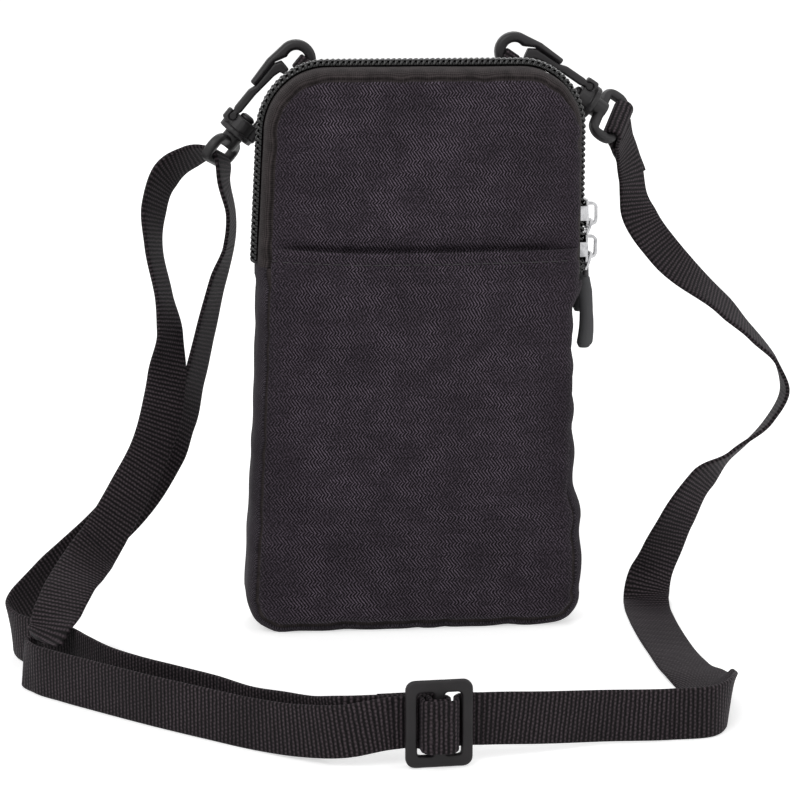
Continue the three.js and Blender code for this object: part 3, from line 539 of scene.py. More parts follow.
@dataclass(frozen=True)
class PlatedMetal(Finish):
    """Bright plated zinc with faint rubbing marks and painted dark reflections."""

    bright: Colour = (0.50, 0.50, 0.51, 1)
    dull: Colour = (0.24, 0.24, 0.25, 1)

    def looks(self, graph: Graph) -> dict[str, object]:
        """Build a bright skin with streaks, and darker spots painted as dark reflections."""
        place = graph.place()
        streak = graph.noise(graph.out("ShaderNodeMapping", {0: place, 3: (1, 1, 0.15)}), 2400, 3)
        # Darker patches of the metal's colour, painted as dark reflections
        spot = graph.span(graph.noise(place, 420, 4), 0.45, 0.75)
        return {
            "Base Color": graph.mix(spot, self.bright, self.dull),
            "Roughness": graph.span(streak, 0.3, 0.75, 0.16, 0.36),
            "Normal": graph.bump(streak, 0.00002, 0.25),
            "Metallic": 1.0,
        }


@dataclass(frozen=True)
class Thread(Woven):
    """Twisted sewing thread."""

    dark: Colour = (0.008, 0.007, 0.008, 1)
    light: Colour = (0.036, 0.032, 0.036, 1)
    relief: float = 0.00005
    bumpy: float = 0.5
    rough: float = 0.6
    twist: float = 3800.0

    def looks(self, graph: Graph) -> dict[str, object]:
        """Build a fine twist."""
        twist = graph.noise(graph.place(), self.twist, 2)
        return self.cover(twist, twist, graph)


SHELL = ShellTwill("shell_twill", "shell_fabric")
# The gusset's cloth: the shell twill with a finer weave and less contrast, painted lighter as light on the
# pouch's shaded sides
SIDE_CLOTH_PAINTED_LIGHTER = ShellTwill(
    "side_twill",
    "shell_fabric",
    band=2.0,
    pitch=0.6,
    dark=(0.016, 0.0133, 0.0165, 1),
    light=(0.105, 0.0885, 0.108, 1),
)
TAPE = ZipTape("zip_tape_cloth", "zip_tape")
STRAP = Webbing("strap_webbing", "webbing")
LINING = PlainWeave("lining_weave", "lining_fabric")
THREAD = Thread("sewing_thread", "shell_fabric")
STRAP_THREAD = Thread("strap_thread", "webbing")
# The coil's worn colour gives lighter patches that are partly wear and partly painted glints
COIL = Moulded(
    "coil_plastic",
    "zip_coil",
    base=(0.0022, 0.002, 0.0021, 1),
    worn=(0.007, 0.0063, 0.0065, 1),
    smooth=0.10,
    rough=0.24,
    shine=0.45,
)
HOOK = Moulded("satin_plastic", "hook_plastic")
GLIDE = Moulded(
    "glide_plastic",
    "hook_plastic",
    base=(0.0072, 0.006, 0.0068, 1),
    worn=(0.015, 0.0128, 0.0142, 1),
    shine=0.32,
)
RUBBER = Moulded(
    "grip_rubber",
    "grip_rubber",
    base=(0.012, 0.0115, 0.012, 1),
    worn=(0.026, 0.025, 0.026, 1),
    depth=0.00006,
    smooth=0.55,
    rough=0.75,
    shine=0.25,
)
ZINC = PlatedMetal("plated_zinc", "zip_metal")


# Rows of small repeated shapes

ROD_SIZES = ("length", "radius", "rise", "slant", "lift", "bow")


@dataclass
class PartRow:
    """Small bent rods set along a row: the teeth of a coil or the stitches of a seam.

    Each place has a direction along the row and a direction out of the surface.
    """

    length: float
    radius: float
    rise: float
    slant: float = 0.0
    lift: float = 0.0
    bow: float = 0.0
    sides: int = 5
    bends: int = 5

    def tree(self) -> tuple[bpy.types.NodeTree, dict[str, str]]:
        """Build the node tree.

        Returns:
            The tree and each input's identifier by its name.
        """
        tree = bpy.data.node_groups.new("rods_in_a_row", "GeometryNodeTree")

        def socket(name: str, kind: str, way: str = "INPUT") -> str:
            made = tree.interface.new_socket(name, in_out=way, socket_type=f"NodeSocket{kind}")
            return made.identifier

        socket("Geometry", "Geometry")
        names = {name: socket(name, "Float") for name in ROD_SIZES}
        names["finish"] = socket("finish", "Material")
        socket("Geometry", "Geometry", "OUTPUT")
        graph = Graph(tree)
        given = graph.node("NodeGroupInput").outputs
        half, lean = (graph.times(given[name], 0.5) for name in ("length", "slant"))
        path = {
            "Resolution": self.bends,
            "Start": graph.point(graph.times(lean, -1.0), graph.times(half, -1.0)),
            "Middle": graph.point(0.0, given["bow"], given["rise"]),
            "End": graph.point(lean, half, given["lift"]),
        }
        line = graph.out("GeometryNodeCurveQuadraticBezier", path)
        size = {"Resolution": self.sides, "Radius": given["radius"]}
        ring = graph.out("GeometryNodeCurvePrimitiveCircle", size)
        rod = graph.out("GeometryNodeCurveToMesh", {0: line, 1: ring, "Fill Caps": True})
        ways = [
            graph.out("GeometryNodeInputNamedAttribute", {"Name": name}, data_type="FLOAT_VECTOR")
            for name in ("outward", "along")
        ]
        axes = {"primary_axis": "Z", "secondary_axis": "X"}
        turn = graph.out("FunctionNodeAxesToRotation", dict(enumerate(ways)), **axes)
        spots = {"Points": given["Geometry"], "Instance": rod, "Rotation": turn}
        placed = graph.out("GeometryNodeInstanceOnPoints", spots)
        real = graph.out("GeometryNodeRealizeInstances", {0: placed})
        dressed = graph.out("GeometryNodeSetMaterial", {"Geometry": real, "Material": given["finish"]})
        graph.node("NodeGroupOutput", {0: dressed})
        return tree, names

    def build(
        self, name: str, places: np.ndarray, along: np.ndarray, outward: np.ndarray, finish: Finish
    ) -> Piece:
        """Set the rods at their places and make one mesh of them.

        Args:
            name: The piece's name.
            places: The rods' middles in millimetres.
            along: The direction along the row at each place.
            outward: The direction out of the surface at each place.
            finish: The rods' finish.

        Returns:
            The object.
        """
        mesh = bpy.data.meshes.new(name + "_places")
        mesh.from_pydata((places * MM).tolist(), [], [])
        for key, values in (("along", along), ("outward", outward)):
            layer = mesh.attributes.new(key, "FLOAT_VECTOR", "POINT")
            layer.data.foreach_set("vector", np.asarray(values, dtype=np.float32).ravel())
        holder = link_object(name + "_places", mesh)
        tree, names = self.tree()
        rows = holder.modifiers.new("rods", "NODES")
        rows.node_group = tree
        for key in ROD_SIZES:
            rows[names[key]] = getattr(self, key) * MM
        rows[names["finish"]] = finish.material()
        made = bake(holder, name)
        shade_smooth(made.data)
        return made


def bake(source: Piece, name: str) -> Piece:
    """Turn an object and its modifiers into a new plain mesh object, and remove the source."""
    graph = bpy.context.evaluated_depsgraph_get()
    mesh = bpy.data.meshes.new_from_object(source.evaluated_get(graph))
    mesh.name = name
    old = source.data
    bpy.data.objects.remove(source)
    bpy.data.meshes.remove(old)
    return link_object(name, mesh)


def settle(piece: Piece, body: str, finish: Finish, *nodes: str) -> Piece:
    """Let a finished piece ride on a body and stand for CAD nodes."""
    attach(piece, body)
    return stand_for(piece, finish, *nodes)


def stand_for(piece: Piece, finish: Finish, *nodes: str) -> Piece:
    """Let a piece stand for CAD nodes, and report it."""
    if nodes:
        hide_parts(*nodes)
    log.info("%s: %d faces", piece.name, len(piece.data.polygons))
    return piece


def sew(
    shape: Panel | Pocket | Band | SeamBinding | Lining, name: str, finish: Finish, *nodes: str
) -> Piece:
    """Build a sewn shape on the pouch's body, let it stand for CAD nodes and dress it."""
    return settle(shape.build(name, finish), POUCH, finish, *nodes)


def rounded_copy(
    node: Piece, name: str, finish: Finish, voxel: float, passes: int, fuller: float = 0.0
) -> Piece:
    """Copy a hard part with its edges rounded as a mould leaves them.

    Args:
        node: The part's CAD object, which stays as it is.
        name: The new piece's name.
        finish: The new piece's finish.
        voxel: The size of the new mesh's cells in millimetres.
        passes: How many times the edges are eased.
        fuller: How far the skin then moves out, in millimetres, for what the easing takes off.

    Returns:
        The new piece.
    """
    mesh = node.data.copy()
    shape = bmesh.new()
    shape.from_mesh(mesh)
    bmesh.ops.remove_doubles(shape, verts=shape.verts, dist=MM * MM)
    shape.to_mesh(mesh)
    shape.free()
    mesh.materials.clear()
    copy = link_object(name + "_copy", mesh)
    remesh = copy.modifiers.new("cells", "REMESH")
    remesh.mode = "VOXEL"
    remesh.voxel_size = voxel * MM
    eased = copy.modifiers.new("ease", "SMOOTH")
    eased.factor = 0.5
    eased.iterations = passes
    if fuller:
        grow = copy.modifiers.new("grow", "DISPLACE")
        grow.strength = fuller * MM
        grow.mid_level = 0.0
    made = bake(copy, name)
    made.data.materials.clear()
    made.data.materials.append(finish.material())
    shade_smooth(made.data)
    return made


# The pouch

EDGE_STEPS = np.array([0.0, 0.2, 0.55, 1.1, 1.8, 2.7, 4.0, 5.8])
END_STEPS = np.array([0.35, 0.8, 1.4])
HEM_STEPS = np.array([-2.7, -1.7, -0.9, -0.35, 0.0, 0.3, 0.9, 1.8, 2.9, 3.5, 4.1, 5.4, 7.0, 7.6])
CLOTH_EDGE = 12.9
TURNING = (11.5, 14.0)
SWELL_SCALE = 10.0
SWELL_FRAMES = 20


@dataclass(frozen=True)
class Outline:
    """The pouch's outer outline seen from the front, with the zip over its top."""

    width: float = 101.6
    height: float = 178.2
    top_corner: float = 19.0
    bottom_corner: float = 11.5
    zip_left: float = 118.0
    zip_right: float = 112.0
    gap: float = 0.3
    left_lean: float = 3.3
    left_fullness: float = 0.9
    full_span: Flat = (70.0, 130.0)
    right_flare: float = 2.2
    flare_top: float = 104.0
    waist: float = 2.1
    waist_span: Flat = (34.0, 111.0)
    waist_ease: float = 12.0
    side_inset: float = 3.6
    base_inset: float = 3.4

    def stance(self, x: np.ndarray, z: np.ndarray) -> np.ndarray:
        """Give x as the soft pouch stands: its left leans in, its right has a waist and a flare."""
        share = (self.width / 2 - x) / self.width
        leaning = math.tan(math.radians(self.left_lean)) * (z - self.height / 2)
        leaning = leaning - self.left_fullness * ease(z, *self.full_span)
        low, high = self.waist_span
        drawn_in = self.waist * ease(z, low, low + self.waist_ease) * ease(z, high, high - self.waist_ease)
        flaring = self.right_flare * np.clip(1 - z / self.flare_top, 0, None)
        return x + share * leaning + (1 - share) * (flaring - drawn_in)

    def seam_inset(self, normal_z: np.ndarray) -> np.ndarray:
        """Give how far the seams lie inside the outline at the sides and at the base."""
        return lerp(self.side_inset, self.base_inset, np.clip(-normal_z, 0, None))

    def loop(self, step: float = 0.5) -> np.ndarray:
        """Sample the closed outline, before the pouch slumps, from the zip's left end over the top.

        Args:
            step: The distance between samples.

        Returns:
            A row of x, z, normal x, normal z and distance for each sample.
        """
        half, top = self.width / 2, self.height - self.top_corner
        low, flat = self.bottom_corner, self.width / 2 - self.top_corner
        rows: list[tuple[float, float, float, float]] = []

        def straight(start: Flat, stop: Flat, normal: Flat) -> None:
            count = max(1, round(math.dist(start, stop) / step))
            for t in (i / count for i in range(count)):
                rows.append((*(a + t * (b - a) for a, b in zip(start, stop)), *normal))

        def bend(centre: Flat, radius: float, start: float) -> None:
            count = max(1, round(radius * math.pi / 2 / step))
            for i in range(count):
                turn = math.radians(start - 90 * i / count)
                nx, nz = math.cos(turn), math.sin(turn)
                rows.append((centre[0] + radius * nx, centre[1] + radius * nz, nx, nz))

        straight((-half, self.zip_left), (-half, top), (-1, 0))
        bend((-flat, top), self.top_corner, 180)
        straight((-flat, self.height), (flat, self.height), (0, 1))
        bend((flat, top), self.top_corner, 90)
        straight((half, top), (half, low), (1, 0))
        bend((half - low, low), low, 0)
        straight((half - low, 0), (low - half, 0), (0, -1))
        bend((low - half, low), low, -90)
        straight((-half, low), (-half, self.zip_left), (-1, 0))
        table = np.array(rows)
        ends = np.roll(table[:, :2], -1, axis=0)
        steps = np.linalg.norm(ends - table[:, :2], axis=1)
        distance = np.concatenate([[0], np.cumsum(steps)[:-1]])
        return np.column_stack([table, distance])

    @property
    def length(self) -> float:
        """The outline's whole length."""
        corners = self.top_corner + self.bottom_corner
        return math.pi * corners + 2 * self.width + 2 * self.height - 4 * corners

    @property
    def zip_length(self) -> float:
        """The zip's length from its left end over the top to its right end."""
        top = self.height - self.top_corner
        across = self.width - 2 * self.top_corner
        return 2 * top - self.zip_left - self.zip_right + across + math.pi * self.top_corner

    def at(self, distance: np.ndarray) -> np.ndarray:
        """Give the x, z, normal x and normal z at distances round the outline."""
        loop = self.loop()
        closed = np.vstack([loop, np.append(loop[0, :4], self.length)])
        found = [np.interp(np.mod(distance, self.length), closed[:, 4], closed[:, i]) for i in range(4)]
        place = np.column_stack(found)
        place[:, 2:] = unit(place[:, 2:])
        place[:, 0] = self.stance(place[:, 0], place[:, 1])
        return place


def gathers(arc: np.ndarray, spacing: float = 10.5) -> np.ndarray:
    """Give the depth, 0 to 1, of the uneven gathers along a seam at distances round the outline."""
    shifted = (arc + 2.6 * np.sin(arc / 8.3) + 3.1 * np.sin(arc / 29.0 + 1.0)) / spacing
    cell = np.floor(shifted)
    depth = 0.6 + 0.4 * np.sin(2.4 * cell + 0.7)
    return depth * ridge(shifted - cell - 0.5, 0.24)


def ripple(a: np.ndarray, b: np.ndarray) -> np.ndarray:
    """Give soft dents, about -1 to 1, over two coordinates in millimetres."""
    slow = np.sin(a / 15.0 + 0.8 * np.sin(b / 21.0) + 1.1) * np.sin(b / 18.0 + 0.6 * np.sin(a / 24.0) + 0.4)
    quick = np.sin(a / 6.1 + b / 10.7 + 2.0) * np.sin(b / 7.9 - a / 13.0 + 0.9)
    return 0.7 * slow + 0.3 * quick


def spread(low: float, high: float, step: float) -> np.ndarray:
    """Give positions from low to high that close up towards both ends."""
    count = max(2, round((high - low - 2 * EDGE_STEPS[-1]) / step))
    middle = np.linspace(low + EDGE_STEPS[-1], high - EDGE_STEPS[-1], count + 1)
    return np.concatenate([low + EDGE_STEPS[:-1], middle, (high - EDGE_STEPS[:-1])[::-1]])


def swell(places: np.ndarray, faces: list[Face], held: np.ndarray, slack: float) -> np.ndarray:
    """Fill a held sheet of cloth with a soft pressure.

    Args:
        places: The flat sheet's points in millimetres.
        faces: Its faces as point numbers.
        held: Whether each point is sewn down.
        slack: The spare cloth, as a share of its length.

    Returns:
        How far each point moves, in millimetres.
    """
    mesh = bpy.data.meshes.new("swelling")
    mesh.from_pydata((places * MM * SWELL_SCALE).tolist(), [], faces)
    cloth = link_object("swelling", mesh)
    group = cloth.vertex_groups.new(name="held")
    group.add([int(i) for i in np.flatnonzero(held)], 1.0, "REPLACE")
    press = cloth.modifiers.new("cloth", "CLOTH")
    settings = {
        "quality": 6,
        "mass": 0.4,
        "tension_stiffness": 18,
        "compression_stiffness": 18,
        "shear_stiffness": 8,
        "bending_stiffness": 1.5,
        "vertex_group_mass": "held",
        "shrink_min": -slack,
        "use_pressure": True,
        "uniform_pressure_force": 4.0,
    }
    for key, value in settings.items():
        setattr(press.settings, key, value)
    press.settings.effector_weights.gravity = 0.0
    press.collision_settings.use_collision = False
    press.point_cache.frame_start = 1
    press.point_cache.frame_end = SWELL_FRAMES
    scene = bpy.context.scene
    for frame in range(1, SWELL_FRAMES + 1):
        scene.frame_set(frame)
    graph = bpy.context.evaluated_depsgraph_get()
    moved = np.empty(3 * len(places))
    cloth.evaluated_get(graph).data.vertices.foreach_get("co", moved)
    scene.frame_set(1)
    bpy.data.objects.remove(cloth)
    bpy.data.meshes.remove(mesh)
    return moved.reshape(-1, 3) / MM / SWELL_SCALE - places


@dataclass
class Panel:
    """A padded face of the pouch, sewn in all round. Its grid has rows up it and columns across it."""

    side: Side
    outline: Outline
    crown: float
    slack: float
    face: float = 15.0
    thickness: float = 3.7
    skin: float = 0.8
    rim: float = 1.7
    held: float = 0.9
    pitch: float = 2.2
    row_gap: float = 0.6
    hem: float = 122.6
    hem_rise: float = 1.7
    hem_rise_span: Flat = (12.0, 47.0)
    hem_rise_reach: float = 9.0
    gather_depth: float = 0.75
    gather_reach: float = 6.0
    scallop: float = 0.8
    scallop_left: float = 0.45
    scallop_reach: float = 2.5
    dents: float = 0.3
    dents_inset: float = 12.0
    overhang: float = 0.0
    overhang_foot: Flat = (30.0, 75.0)
    overhang_head: Flat = (172.0, 158.0)
    overhang_reach: float = 7.0
    lip: float = 0.75
    lip_reach: float = 1.8
    crease: float = 0.0
    crease_right: float = 0.35
    crease_spacing: float = 8.5
    crease_slant: float = 0.45
    crease_reach: float = 13.0
    dip: float = 0.0
    dip_inset: Flat = (2.0, 10.0)
    dip_foot: Flat = (6.0, 3.0)
    rows: np.ndarray = field(init=False)
    places: np.ndarray = field(init=False)
    shape: tuple[int, int] = field(init=False)
    level: np.ndarray = field(init=False)
    edge: np.ndarray = field(init=False)
    arc: np.ndarray = field(init=False)
    height: np.ndarray = field(init=False)

    def __post_init__(self) -> None:
        """Lay out the grid and find each point's distance from the seam and its height."""
        inset = self.outline.side_inset
        hem_rows = self.hem - HEM_STEPS
        plain = spread(self.outline.base_inset, self.outline.height - inset, self.pitch)
        apart = np.abs(plain[:, None] - hem_rows[None, :]).min(axis=1)
        self.rows = np.sort(np.concatenate([plain[apart > self.row_gap], hem_rows]))
        full = self.outline.width / 2 - inset
        columns = spread(-full, full, self.pitch)
        from_edge = full - np.abs(columns)
        inner = full - EDGE_STEPS[-1]
        points = []
        for z in self.rows:
            half = self.half_width(z)
            scaled = np.abs(columns) * (half - EDGE_STEPS[-1]) / inner
            x = np.sign(columns) * np.where(from_edge < EDGE_STEPS[-1], half - from_edge, scaled)
            points.append(np.column_stack([x, np.zeros_like(x), np.full_like(x, z)]))
        self.places = np.concatenate(points)
        self.shape = (len(self.rows), len(columns))
        loop = self.outline.loop()
        border = loop[:, :2] - self.outline.seam_inset(loop[:, 3:4]) * loop[:, 2:4]
        away = np.linalg.norm(self.places[:, None, [0, 2]] - border[None], axis=2)
        nearest = away.argmin(axis=1)
        self.edge = away[np.arange(len(nearest)), nearest]
        self.arc = loop[nearest, 4]
        self.level = self.places[:, 2].copy()
        self.height = self.surface()
        self.pull(loop[nearest, 2:4])

    def pull(self, normals: np.ndarray) -> None:
        """Draw the seam in at its gathers, puff the right side out over it and lift the hem's left end."""
        rightward = np.clip(normals[:, 0], 0, 1)
        drawn = self.scallop * lerp(self.scallop_left, 1, rightward)
        drawn = drawn * gathers(self.arc) * fade(self.edge, self.scallop_reach)
        self.places[:, [0, 2]] -= drawn[:, None] * normals
        puffed = ramp(self.level, *self.overhang_foot) * ramp(self.level, *self.overhang_head)
        puffed *= self.overhang * rightward
        self.places[:, 0] += puffed * fade(self.edge, self.overhang_reach)
        self.height -= self.lip * puffed * fade(self.edge, self.lip_reach)
        leftward = ramp(-self.places[:, 0], *self.hem_rise_span)
        from_hem = np.abs(self.level - self.hem)
        self.places[:, 2] += self.hem_rise * leftward**2 * fade(from_hem, self.hem_rise_reach)

    def half_width(self, z: float) -> float:
        """Give half the panel's width at a height."""
        full = self.outline.width / 2
        turn = np.linspace(0, math.pi / 2, 60)
        low = self.outline.bottom_corner
        reach = low - self.outline.seam_inset(-np.sin(turn))
        if z < low:
            heights, widths = low - reach * np.sin(turn), full - low + reach * np.cos(turn)
            return float(np.interp(z, heights[::-1], widths[::-1]))
        radius = self.outline.top_corner - self.outline.side_inset
        rise = max(z - (self.outline.height - self.outline.top_corner), 0.0)
        return full - self.outline.top_corner + math.sqrt(max(radius**2 - rise**2, 0.0))

    def stand(self, places: np.ndarray) -> np.ndarray:
        """Give points of the flat panel as the soft pouch stands."""
        moved = places.copy()
        moved[:, 0] = self.outline.stance(places[:, 0], places[:, 2])
        return moved

    def bulge(self) -> np.ndarray:
        """Give how far each point stands out, from a pressed sheet held at its seam."""
        moved = swell(self.places, grid_faces(*self.shape), self.edge < self.held, self.slack)[:, 1]
        out = moved * np.sign(moved.mean() or 1.0)
        scale = self.crown / max(np.percentile(out, 97), 1e-6)
        return np.clip(out * scale, -0.3, 1.15 * self.crown)

    def surface(self) -> np.ndarray:
        """Give each point's distance out from the pouch's middle plane."""
        x, z = self.places[:, 0], self.places[:, 2]
        near = np.clip(self.edge, 0, self.rim)
        drop = self.rim - np.sqrt(self.rim**2 - (self.rim - near) ** 2)
        pull = self.gather_depth * gathers(self.arc) * fade(self.edge, self.gather_reach)
        dent = self.dents * ripple(x, z) * ramp(self.edge, 0, self.dents_inset)
        reach = fade(self.edge, self.crease_reach) * ramp(self.edge, 0, 1.5)
        leftward = lerp(self.crease_right, 1, ramp(-x, 0, 40))
        crease = self.crease * gathers(self.arc + self.crease_slant * self.edge, self.crease_spacing)
        crease = crease * reach * leftward
        return self.face + self.bulge() - drop - pull + dent - crease

    def behind_hem(self) -> np.ndarray:
        """Give how far each point dips in behind the pocket's open edge."""
        above = ease(self.level, self.hem, self.hem - HEM_STEPS[0])
        below = ramp(self.level, *(self.hem - depth for depth in self.dip_foot))
        return self.dip * (1 - above) * below * ramp(self.edge, *self.dip_inset)

    def build(self, name: str, finish: Finish) -> Piece:
        """Make the panel as a closed padded body."""
        height = self.height - self.behind_hem()
        back = np.minimum(self.face - self.thickness, height - self.skin)
        depths = (self.side.value * height, self.side.value * back)
        return slab(name, finish, self.shape, self.stand(self.places), depths, self.places[:, [0, 2]])


@dataclass
class Pocket:
    """The open-topped pocket over the lower front, with a folded hem along its top edge."""

    panel: Panel
    clear: float = 0.45
    thickness: float = 1.2
    hem_depth: float = 7.0
    hem_step: float = 1.2
    hem_fold: float = 0.4
    stitch_below: float = 3.5
    stitch_sink: float = 0.28
    stitch_width: float = 0.75
    stitch_pitch: float = 3.1
    stitch_ends: float = 1.5
    stitch_proud: float = 0.1
    roll: float = 0.45
    roll_width: float = 0.35
    slack: float = 1.0
    slack_reach: float = 22.0
    slack_half: float = 50.0
    dents: float = 0.32
    dents_inset: float = 10.0
    cloth_shift: Flat = (0.4, 0.8)
    top: int = field(init=False)

    def __post_init__(self) -> None:
        """Find the grid row of the pocket's top edge."""
        self.top = self.row(0.0)

    def row(self, below: float) -> int:
        """Give the panel's grid row at a distance below the pocket's top edge."""
        return int(np.argmin(np.abs(self.panel.rows - (self.panel.hem - below))))

    def surface(self) -> tuple[np.ndarray, np.ndarray]:
        """Give the pocket's grid points and each one's distance out from the pouch's middle plane."""
        count = (self.top + 1) * self.panel.shape[1]
        places = self.panel.places[:count]
        below = self.panel.hem - self.panel.level[:count]
        edge = self.panel.edge[:count]
        x = places[:, 0]
        inside = ramp(edge, 0, self.dents_inset)
        lift = (self.clear + self.thickness) * np.clip(0.45 + edge / 4, 0, 1)
        fold = self.hem_fold * ramp(below, self.hem_depth + self.hem_step, self.hem_depth)
        fold = fold * ramp(edge, 0, 5)
        sewn = self.stitch_sink * ridge(below - self.stitch_below, self.stitch_width)
        roll = self.roll * ridge(below, self.roll_width)
        slack = self.slack * fade(below, self.slack_reach) * (1 - (x / self.slack_half) ** 2) * inside
        dent = self.dents * ripple(x + 30, places[:, 2] * 0.8 + 11) * inside
        return places, self.panel.height[:count] + lift + fold - sewn - roll + slack + dent

    def build(self, name: str, finish: Finish) -> Piece:
        """Make the pocket as a thin closed sheet."""
        places, height = self.surface()
        sign = self.panel.side.value
        shape = (self.top + 1, self.panel.shape[1])
        depths = (sign * height, sign * (height - self.thickness))
        uv = places[:, [0, 2]] + np.array(self.cloth_shift)
        return slab(name, finish, shape, self.panel.stand(places), depths, uv)

    def stitches(self, name: str, finish: Finish) -> Piece:
        """Sew the hem with a row of stitches."""
        places, height = self.surface()
        row, columns = self.row(self.stitch_below), self.panel.shape[1]
        line = slice(row * columns, (row + 1) * columns)
        reach = self.panel.half_width(self.panel.hem) - self.stitch_ends
        x = np.arange(-reach, reach, self.stitch_pitch)
        out = np.interp(x, places[line, 0], height[line]) + self.stitch_proud
        sign = self.panel.side.value
        level = np.interp(x, places[line, 0], places[line, 2])
        middles = self.panel.stand(np.column_stack([x, sign * out, level]))
        face = np.tile([0.0, float(sign), 0.0], (len(x), 1))
        rods = PartRow(length=2.3, radius=0.2, rise=0.16)
        return rods.build(name, middles, np.tile(UP, (len(x), 1)), face, finish)


@dataclass
class Band:
    """A strip that follows the outline between two depths: the gusset, a zip tape or a lining."""

    outline: Outline
    start: float
    stop: float
    front: float
    rear: float
    outer: float = 0.0
    thickness: float = 1.2
    ripples: float = 0.3
    gather_depth: float = 0.8
    seam_reach: float = 3.2
    puckers: float = 0.0
    puckers_left: float = 0.3
    hem: float = 0.0
    hem_edge: float = 0.8
    hem_depth: Flat = (7.0, 5.0)
    flat_half: float = 7.0
    flat_base: float = 11.4
    seam: float = 13.3
    step: float = 1.6

    def depths(self) -> np.ndarray:
        """Give the strip's points across it, closer together where it curves."""
        turn = np.linspace(-math.pi / 2, math.pi / 2, 27)
        curved = np.sign(turn) * (self.flat_half + (self.seam - self.flat_half) * np.abs(np.sin(turn)))
        flat = np.linspace(-self.flat_half, self.flat_half, 11)
        every = np.unique(np.round(np.concatenate([curved, flat, [self.front, self.rear]]), 4))
        return every[(every >= self.front - 1e-6) & (every <= self.rear + 1e-6)]

    def fall(self, y: np.ndarray, normal_z: np.ndarray) -> np.ndarray:
        """Give how far the strip falls in at depths, as a share of the seam's inset."""
        flat = lerp(self.flat_half, self.flat_base, np.clip(-normal_z, 0, 1))
        past = np.clip(np.abs(y) - flat, 0, None) / (self.seam - flat)
        return 1 - np.sqrt(np.clip(1 - past**2, 0, 1))

    def build(self, name: str, finish: Finish) -> Piece:
        """Make the strip as a closed body."""
        count = max(2, round((self.stop - self.start) / self.step))
        arc = np.linspace(self.start, self.stop, count + 1)
        arc = np.sort(np.concatenate([arc, self.start + END_STEPS, self.stop - END_STEPS]))
        place = self.outline.at(arc)
        y = self.depths()
        s_grid, y_grid = np.meshgrid(arc, y, indexing="ij")
        seam = fade(self.seam - np.abs(y_grid), self.seam_reach)
        wave = self.ripples * ripple(s_grid, 1.7 * y_grid + 40) * (1 - seam)
        loose = self.puckers * lerp(self.puckers_left, 1, np.clip(place[:, 2:3], 0, 1))
        wave += loose * np.sin(s_grid / 2.5 + 1.4 * np.sin(s_grid / 19)) * (1 - 0.6 * seam)
        pull = self.gather_depth * gathers(s_grid) * seam
        to_end = np.minimum(s_grid - self.start, self.stop - s_grid)
        lift = self.hem * np.sqrt(ramp(to_end, 0, self.hem_edge)) * ramp(to_end, *self.hem_depth)
        inset = self.fall(y_grid, place[:, 3:4]) * self.outline.seam_inset(place[:, 3:4])
        inset = inset + self.outer + pull - wave - lift
        layers = []
        for depth in (inset, inset + self.thickness):
            x = place[:, 0, None] - place[:, 2, None] * depth
            z = np.maximum(place[:, 1, None] - place[:, 3, None] * depth, 0)
            layers.append(np.stack([x, y_grid, z], axis=2).reshape(-1, 3))
        uv = np.vstack([np.column_stack([y_grid.ravel(), s_grid.ravel()])] * 2)
        return solid(name, np.concatenate(layers), sheet_faces(len(arc), len(y)), finish, uv)


@dataclass
class SeamBinding:
    """A soft folded tape that runs all round inside a seam."""

    outline: Outline
    side: Side
    inset: float = 5.2
    width: float = 1.8
    outer: float = 13.3
    depth: float = 3.0
    squareness: float = 0.6
    wobble: float = 0.12

    def build(self, name: str, finish: Finish) -> Piece:
        """Make the binding as a closed ring."""
        arc = np.linspace(0, self.outline.length, 260, endpoint=False)
        place = self.outline.at(arc)
        turn = np.linspace(0, 2 * math.pi, 12, endpoint=False)
        over, deep = (np.sign(t) * np.abs(t) ** self.squareness for t in (np.cos(turn), np.sin(turn)))
        y = self.side.value * (self.outer - self.depth / 2 + self.depth / 2 * over)
        inset = self.inset + self.width / 2 + self.width / 2 * deep
        inset = inset[None, :] + self.wobble * np.sin(arc / 2.1)[:, None]
        x = place[:, 0, None] - place[:, 2, None] * inset
        z = place[:, 1, None] - place[:, 3, None] * inset
        points = np.stack([x, np.broadcast_to(y, x.shape), z], axis=2).reshape(-1, 3)
        uv = np.column_stack([np.tile(y, len(arc)), np.repeat(arc, len(y))])
        return solid(name, points, loft_faces(len(arc), len(y), closed=True), finish, uv)


@dataclass
class Lining:
    """A thin inner sheet behind a padded face."""

    panel: Panel
    inset: float = 7.4
    face: float = 11.0
    thickness: float = 0.6
    sag: float = 0.12
    follow: float = 0.85

    def build(self, name: str, finish: Finish) -> Piece:
        """Make the lining as a thin closed sheet with a slack surface."""
        outline, sign = self.panel.outline, self.panel.side.value
        full, middle = outline.width / 2, outline.height / 2
        low, high = outline.base_inset, outline.height - outline.side_inset
        grid = self.panel.places.copy()
        grid[:, 0] *= (full - self.inset) / (full - outline.side_inset)
        grid[:, 2] = middle + (grid[:, 2] - (low + high) / 2) * 2 * (middle - self.inset) / (high - low)
        grid = self.panel.stand(grid)
        follow = self.follow if self.panel.side is Side.FRONT else 0.0
        out = self.face + follow * np.clip(self.panel.height - self.panel.face, 0, None)
        out = out + self.sag * ripple(grid[:, 0] + 13, grid[:, 2] + 7)
        depths = (sign * out, sign * (out - self.thickness))
        return slab(name, finish, self.panel.shape, grid, depths, grid[:, [0, 2]])


